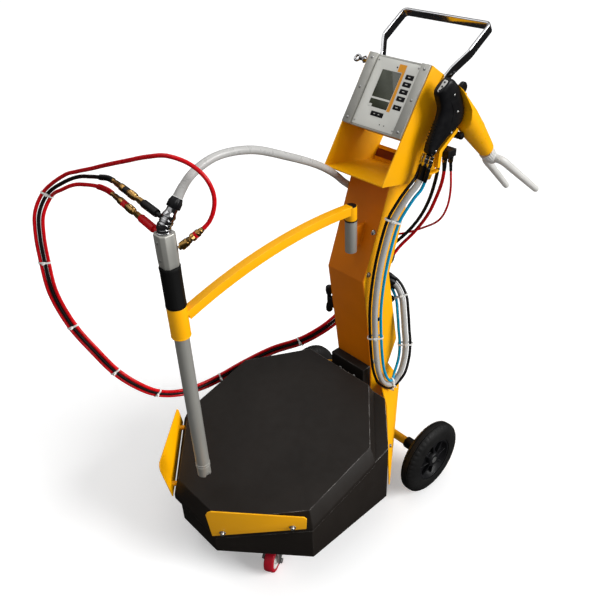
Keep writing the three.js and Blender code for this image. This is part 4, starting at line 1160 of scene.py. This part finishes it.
def add_gun_details():
    """A pale strip with three dials on the rear cap, screws and the hose unions under the grip."""
    cap = aimed((4.6, -3.6, 3), (0.36, -0.92, -0.1), (0, 0.1, -0.99))
    Piece(GUN).prism(plaque(4.4, 14, 3), -3, 1.4, cap).done("cap_strip", "gun_white", "gun", bevel=0.7, segments=3)
    dials = Piece(GUN)
    for y in (-8.5, 1, 10.5):
        dials.turned([(1.9, 1), (1.9, 2.1), (1.5, 2.5), (0.1, 2.6)], cap @ at(0, y), 20)
    dials.done("cap_dials", "black_plastic", "gun")
    spots = ((30, 8), (66, -8), (88, -46), (84, -96))
    places = [aimed((side * 12.6, *spot), (side, 0, 0)) for spot in spots for side in (-1, 1)]
    add_screws("gun_screws", "gun", pan_screw, places, 2.6, 1.1, base=GUN)
    unions = Piece(GUN)
    for x, radius in ((-12, 5), (0, 8.5), (12, 5)):
        place = at(x, 82, -104) @ spun(math.pi + 0.5, "X")
        unions.turned([(radius, 6), (radius, 13), (radius + 0.8, 13.4), (radius + 0.8, 20), (radius, 21),
                       (radius, 29), (radius - 1.5, 30), (0.1, 30)], place, 28)
        unions.turned([(radius + 1.2, 22), (radius + 1.2, 26)], place, 6)
    unions.done("gun_unions", "chrome_steel", "gun", bevel=0.3, smooth=35)


# ---------- fittings on the head and the hose ends ----------
def along_x(node, forward=True):
    """The place of a node that lies along X, with Z towards its far end, and its length."""
    centre, near, far = middle(node), low(node).x, high(node).x
    if forward:
        return aimed((near, centre.y, centre.z), (1, 0, 0)), far - near
    return aimed((far, centre.y, centre.z), (-1, 0, 0)), far - near


def add_fittings():
    place, span = along_x("gun_peg")
    Piece(place).turned([
        (0.1, 0), (16, 0), (16, 3), (14.8, 4.6), (8.4, 5), (7.5, 6.5), (7.5, span - 2), (6.4, span - 0.4), (4, span),
        (0.1, span),
    ], sides=36).done("peg_pin", "black_plastic", replaces=["gun_peg"], bevel=0.3)
    add_eye_bolt()
    place, span = along_x("disc_screw")
    Piece(place).turned([
        (0.1, 0), (4.5, 0), (4.5, span - 10), (6.5, span - 8.6), (11.6, span - 8.4), (13, span - 7), (13, span - 2),
        (11.8, span - 0.6), (7, span - 0.4), (6, span - 1.4), (0.1, span - 1.6),
    ], sides=44).done("disc_knob", "black_plastic", "disc_screw", replaces=["disc_screw"], bevel=0.3)
    ports = Piece()
    for x, y in ((116, 229.6), (102, 226.6), (125, 238.6)):
        ports.turned([(6, 842), (6, 849), (0.1, 849)], at(x, y), 6)
        ports.turned([(5.4, 832), (5.8, 834), (5.8, 842), (0.1, 842)], at(x, y), 24)
    ports.done("outlet_rings", "fitting_brass", bevel=0.2)
    add_hose_ends()


def add_eye_bolt():
    place, span = along_x("eye_screw", forward=False)
    reach = span - 17
    shank = Piece(place)
    shank.turned([(0.1, 0), (4, 0), (4, reach), (3.4, reach + 1.2), (0.1, reach + 1.2)], sides=24)
    for k in range(14):
        z = 2.4 + 1.5 * k
        shank.turned([(3.9, z - 0.5), (4.4, z), (3.9, z + 0.5)], sides=24)
    shank.turned([(4.2, 25), (8.2, 25), (8.2, 28.5), (4.2, 28.5)], sides=6)
    across, facing = (place.to_3x3().inverted() @ Vector((0, y, 0.7071)) for y in (0.7071, -0.7071))
    loop = [across * 6.75 * c + Vector((0, 0, 6.75 * s + reach + 7.2)) for c, s in circle(36)]
    shank.tube(loop, 2.75, sides=14, closed=True, up=facing)
    shank.done("eye_bolt", "chrome_steel", "eye_screw", replaces=["eye_screw"], bevel=0.15)


def add_hose_ends():
    """Sleeves and boots where the hoses start, and glands where they enter the cabinet."""
    sleeves = Piece()
    for points, radius in ((RED_REAR, 4), (BLACK_REAR, 4), (THIN_REAR, 2.5)):
        sleeves.tube(in_mm(points[:3], 3)[:10], radius + 1.6, sides=18, scale=lambda t: 1 - 0.24 * t)
    sleeves.done("outlet_sleeves", "black_plastic", smooth=50)
    boots = Piece()
    for name in ("powder_hose_gun", "gun_cable", "blue_hose"):
        points, diameter = HOSES[name][:2]
        boots.tube(in_mm(points[:4], 3)[:11], diameter * 500 + 1.5, sides=20, scale=lambda t: 1 - 0.16 * t)
    boots.done("gun_hose_boots", "black_plastic", "gun", smooth=50)
    Piece().tube(in_mm(LANCE_HOSE[:3], 3)[:9], 9.2, sides=24, scale=lambda t: 1 - 0.1 * t).done(
        "lance_hose_boot", "hose_clear", "lance", smooth=50)
    glands = Piece()
    for points, diameter, *_ in HOSES.values():
        stretch = in_mm(points[-4:], 2)
        cross = next((p for p in stretch if behind_cabinet(p) < 1), stretch[-1])
        direction = stretch[max(0, stretch.index(cross) - 3)] - cross
        radius = diameter * 500
        glands.turned([(radius + 4, -6), (radius + 4, 3), (radius + 3, 4), (radius + 2.4, 9), (radius + 0.4, 16),
                       (radius - 0.5, 16)], aimed(cross, direction), 24)
    glands.done("cabinet_glands", "black_plastic", bevel=0.3)


add_camera()
add_all_cords()
add_studio()
add_base()
add_stops()
add_column()
add_head()
add_control_unit()
add_handle()
add_wheels()
add_casters()
add_arm()
add_lance()
add_couplings()
add_spring_guards()
add_gun()
add_fittings()
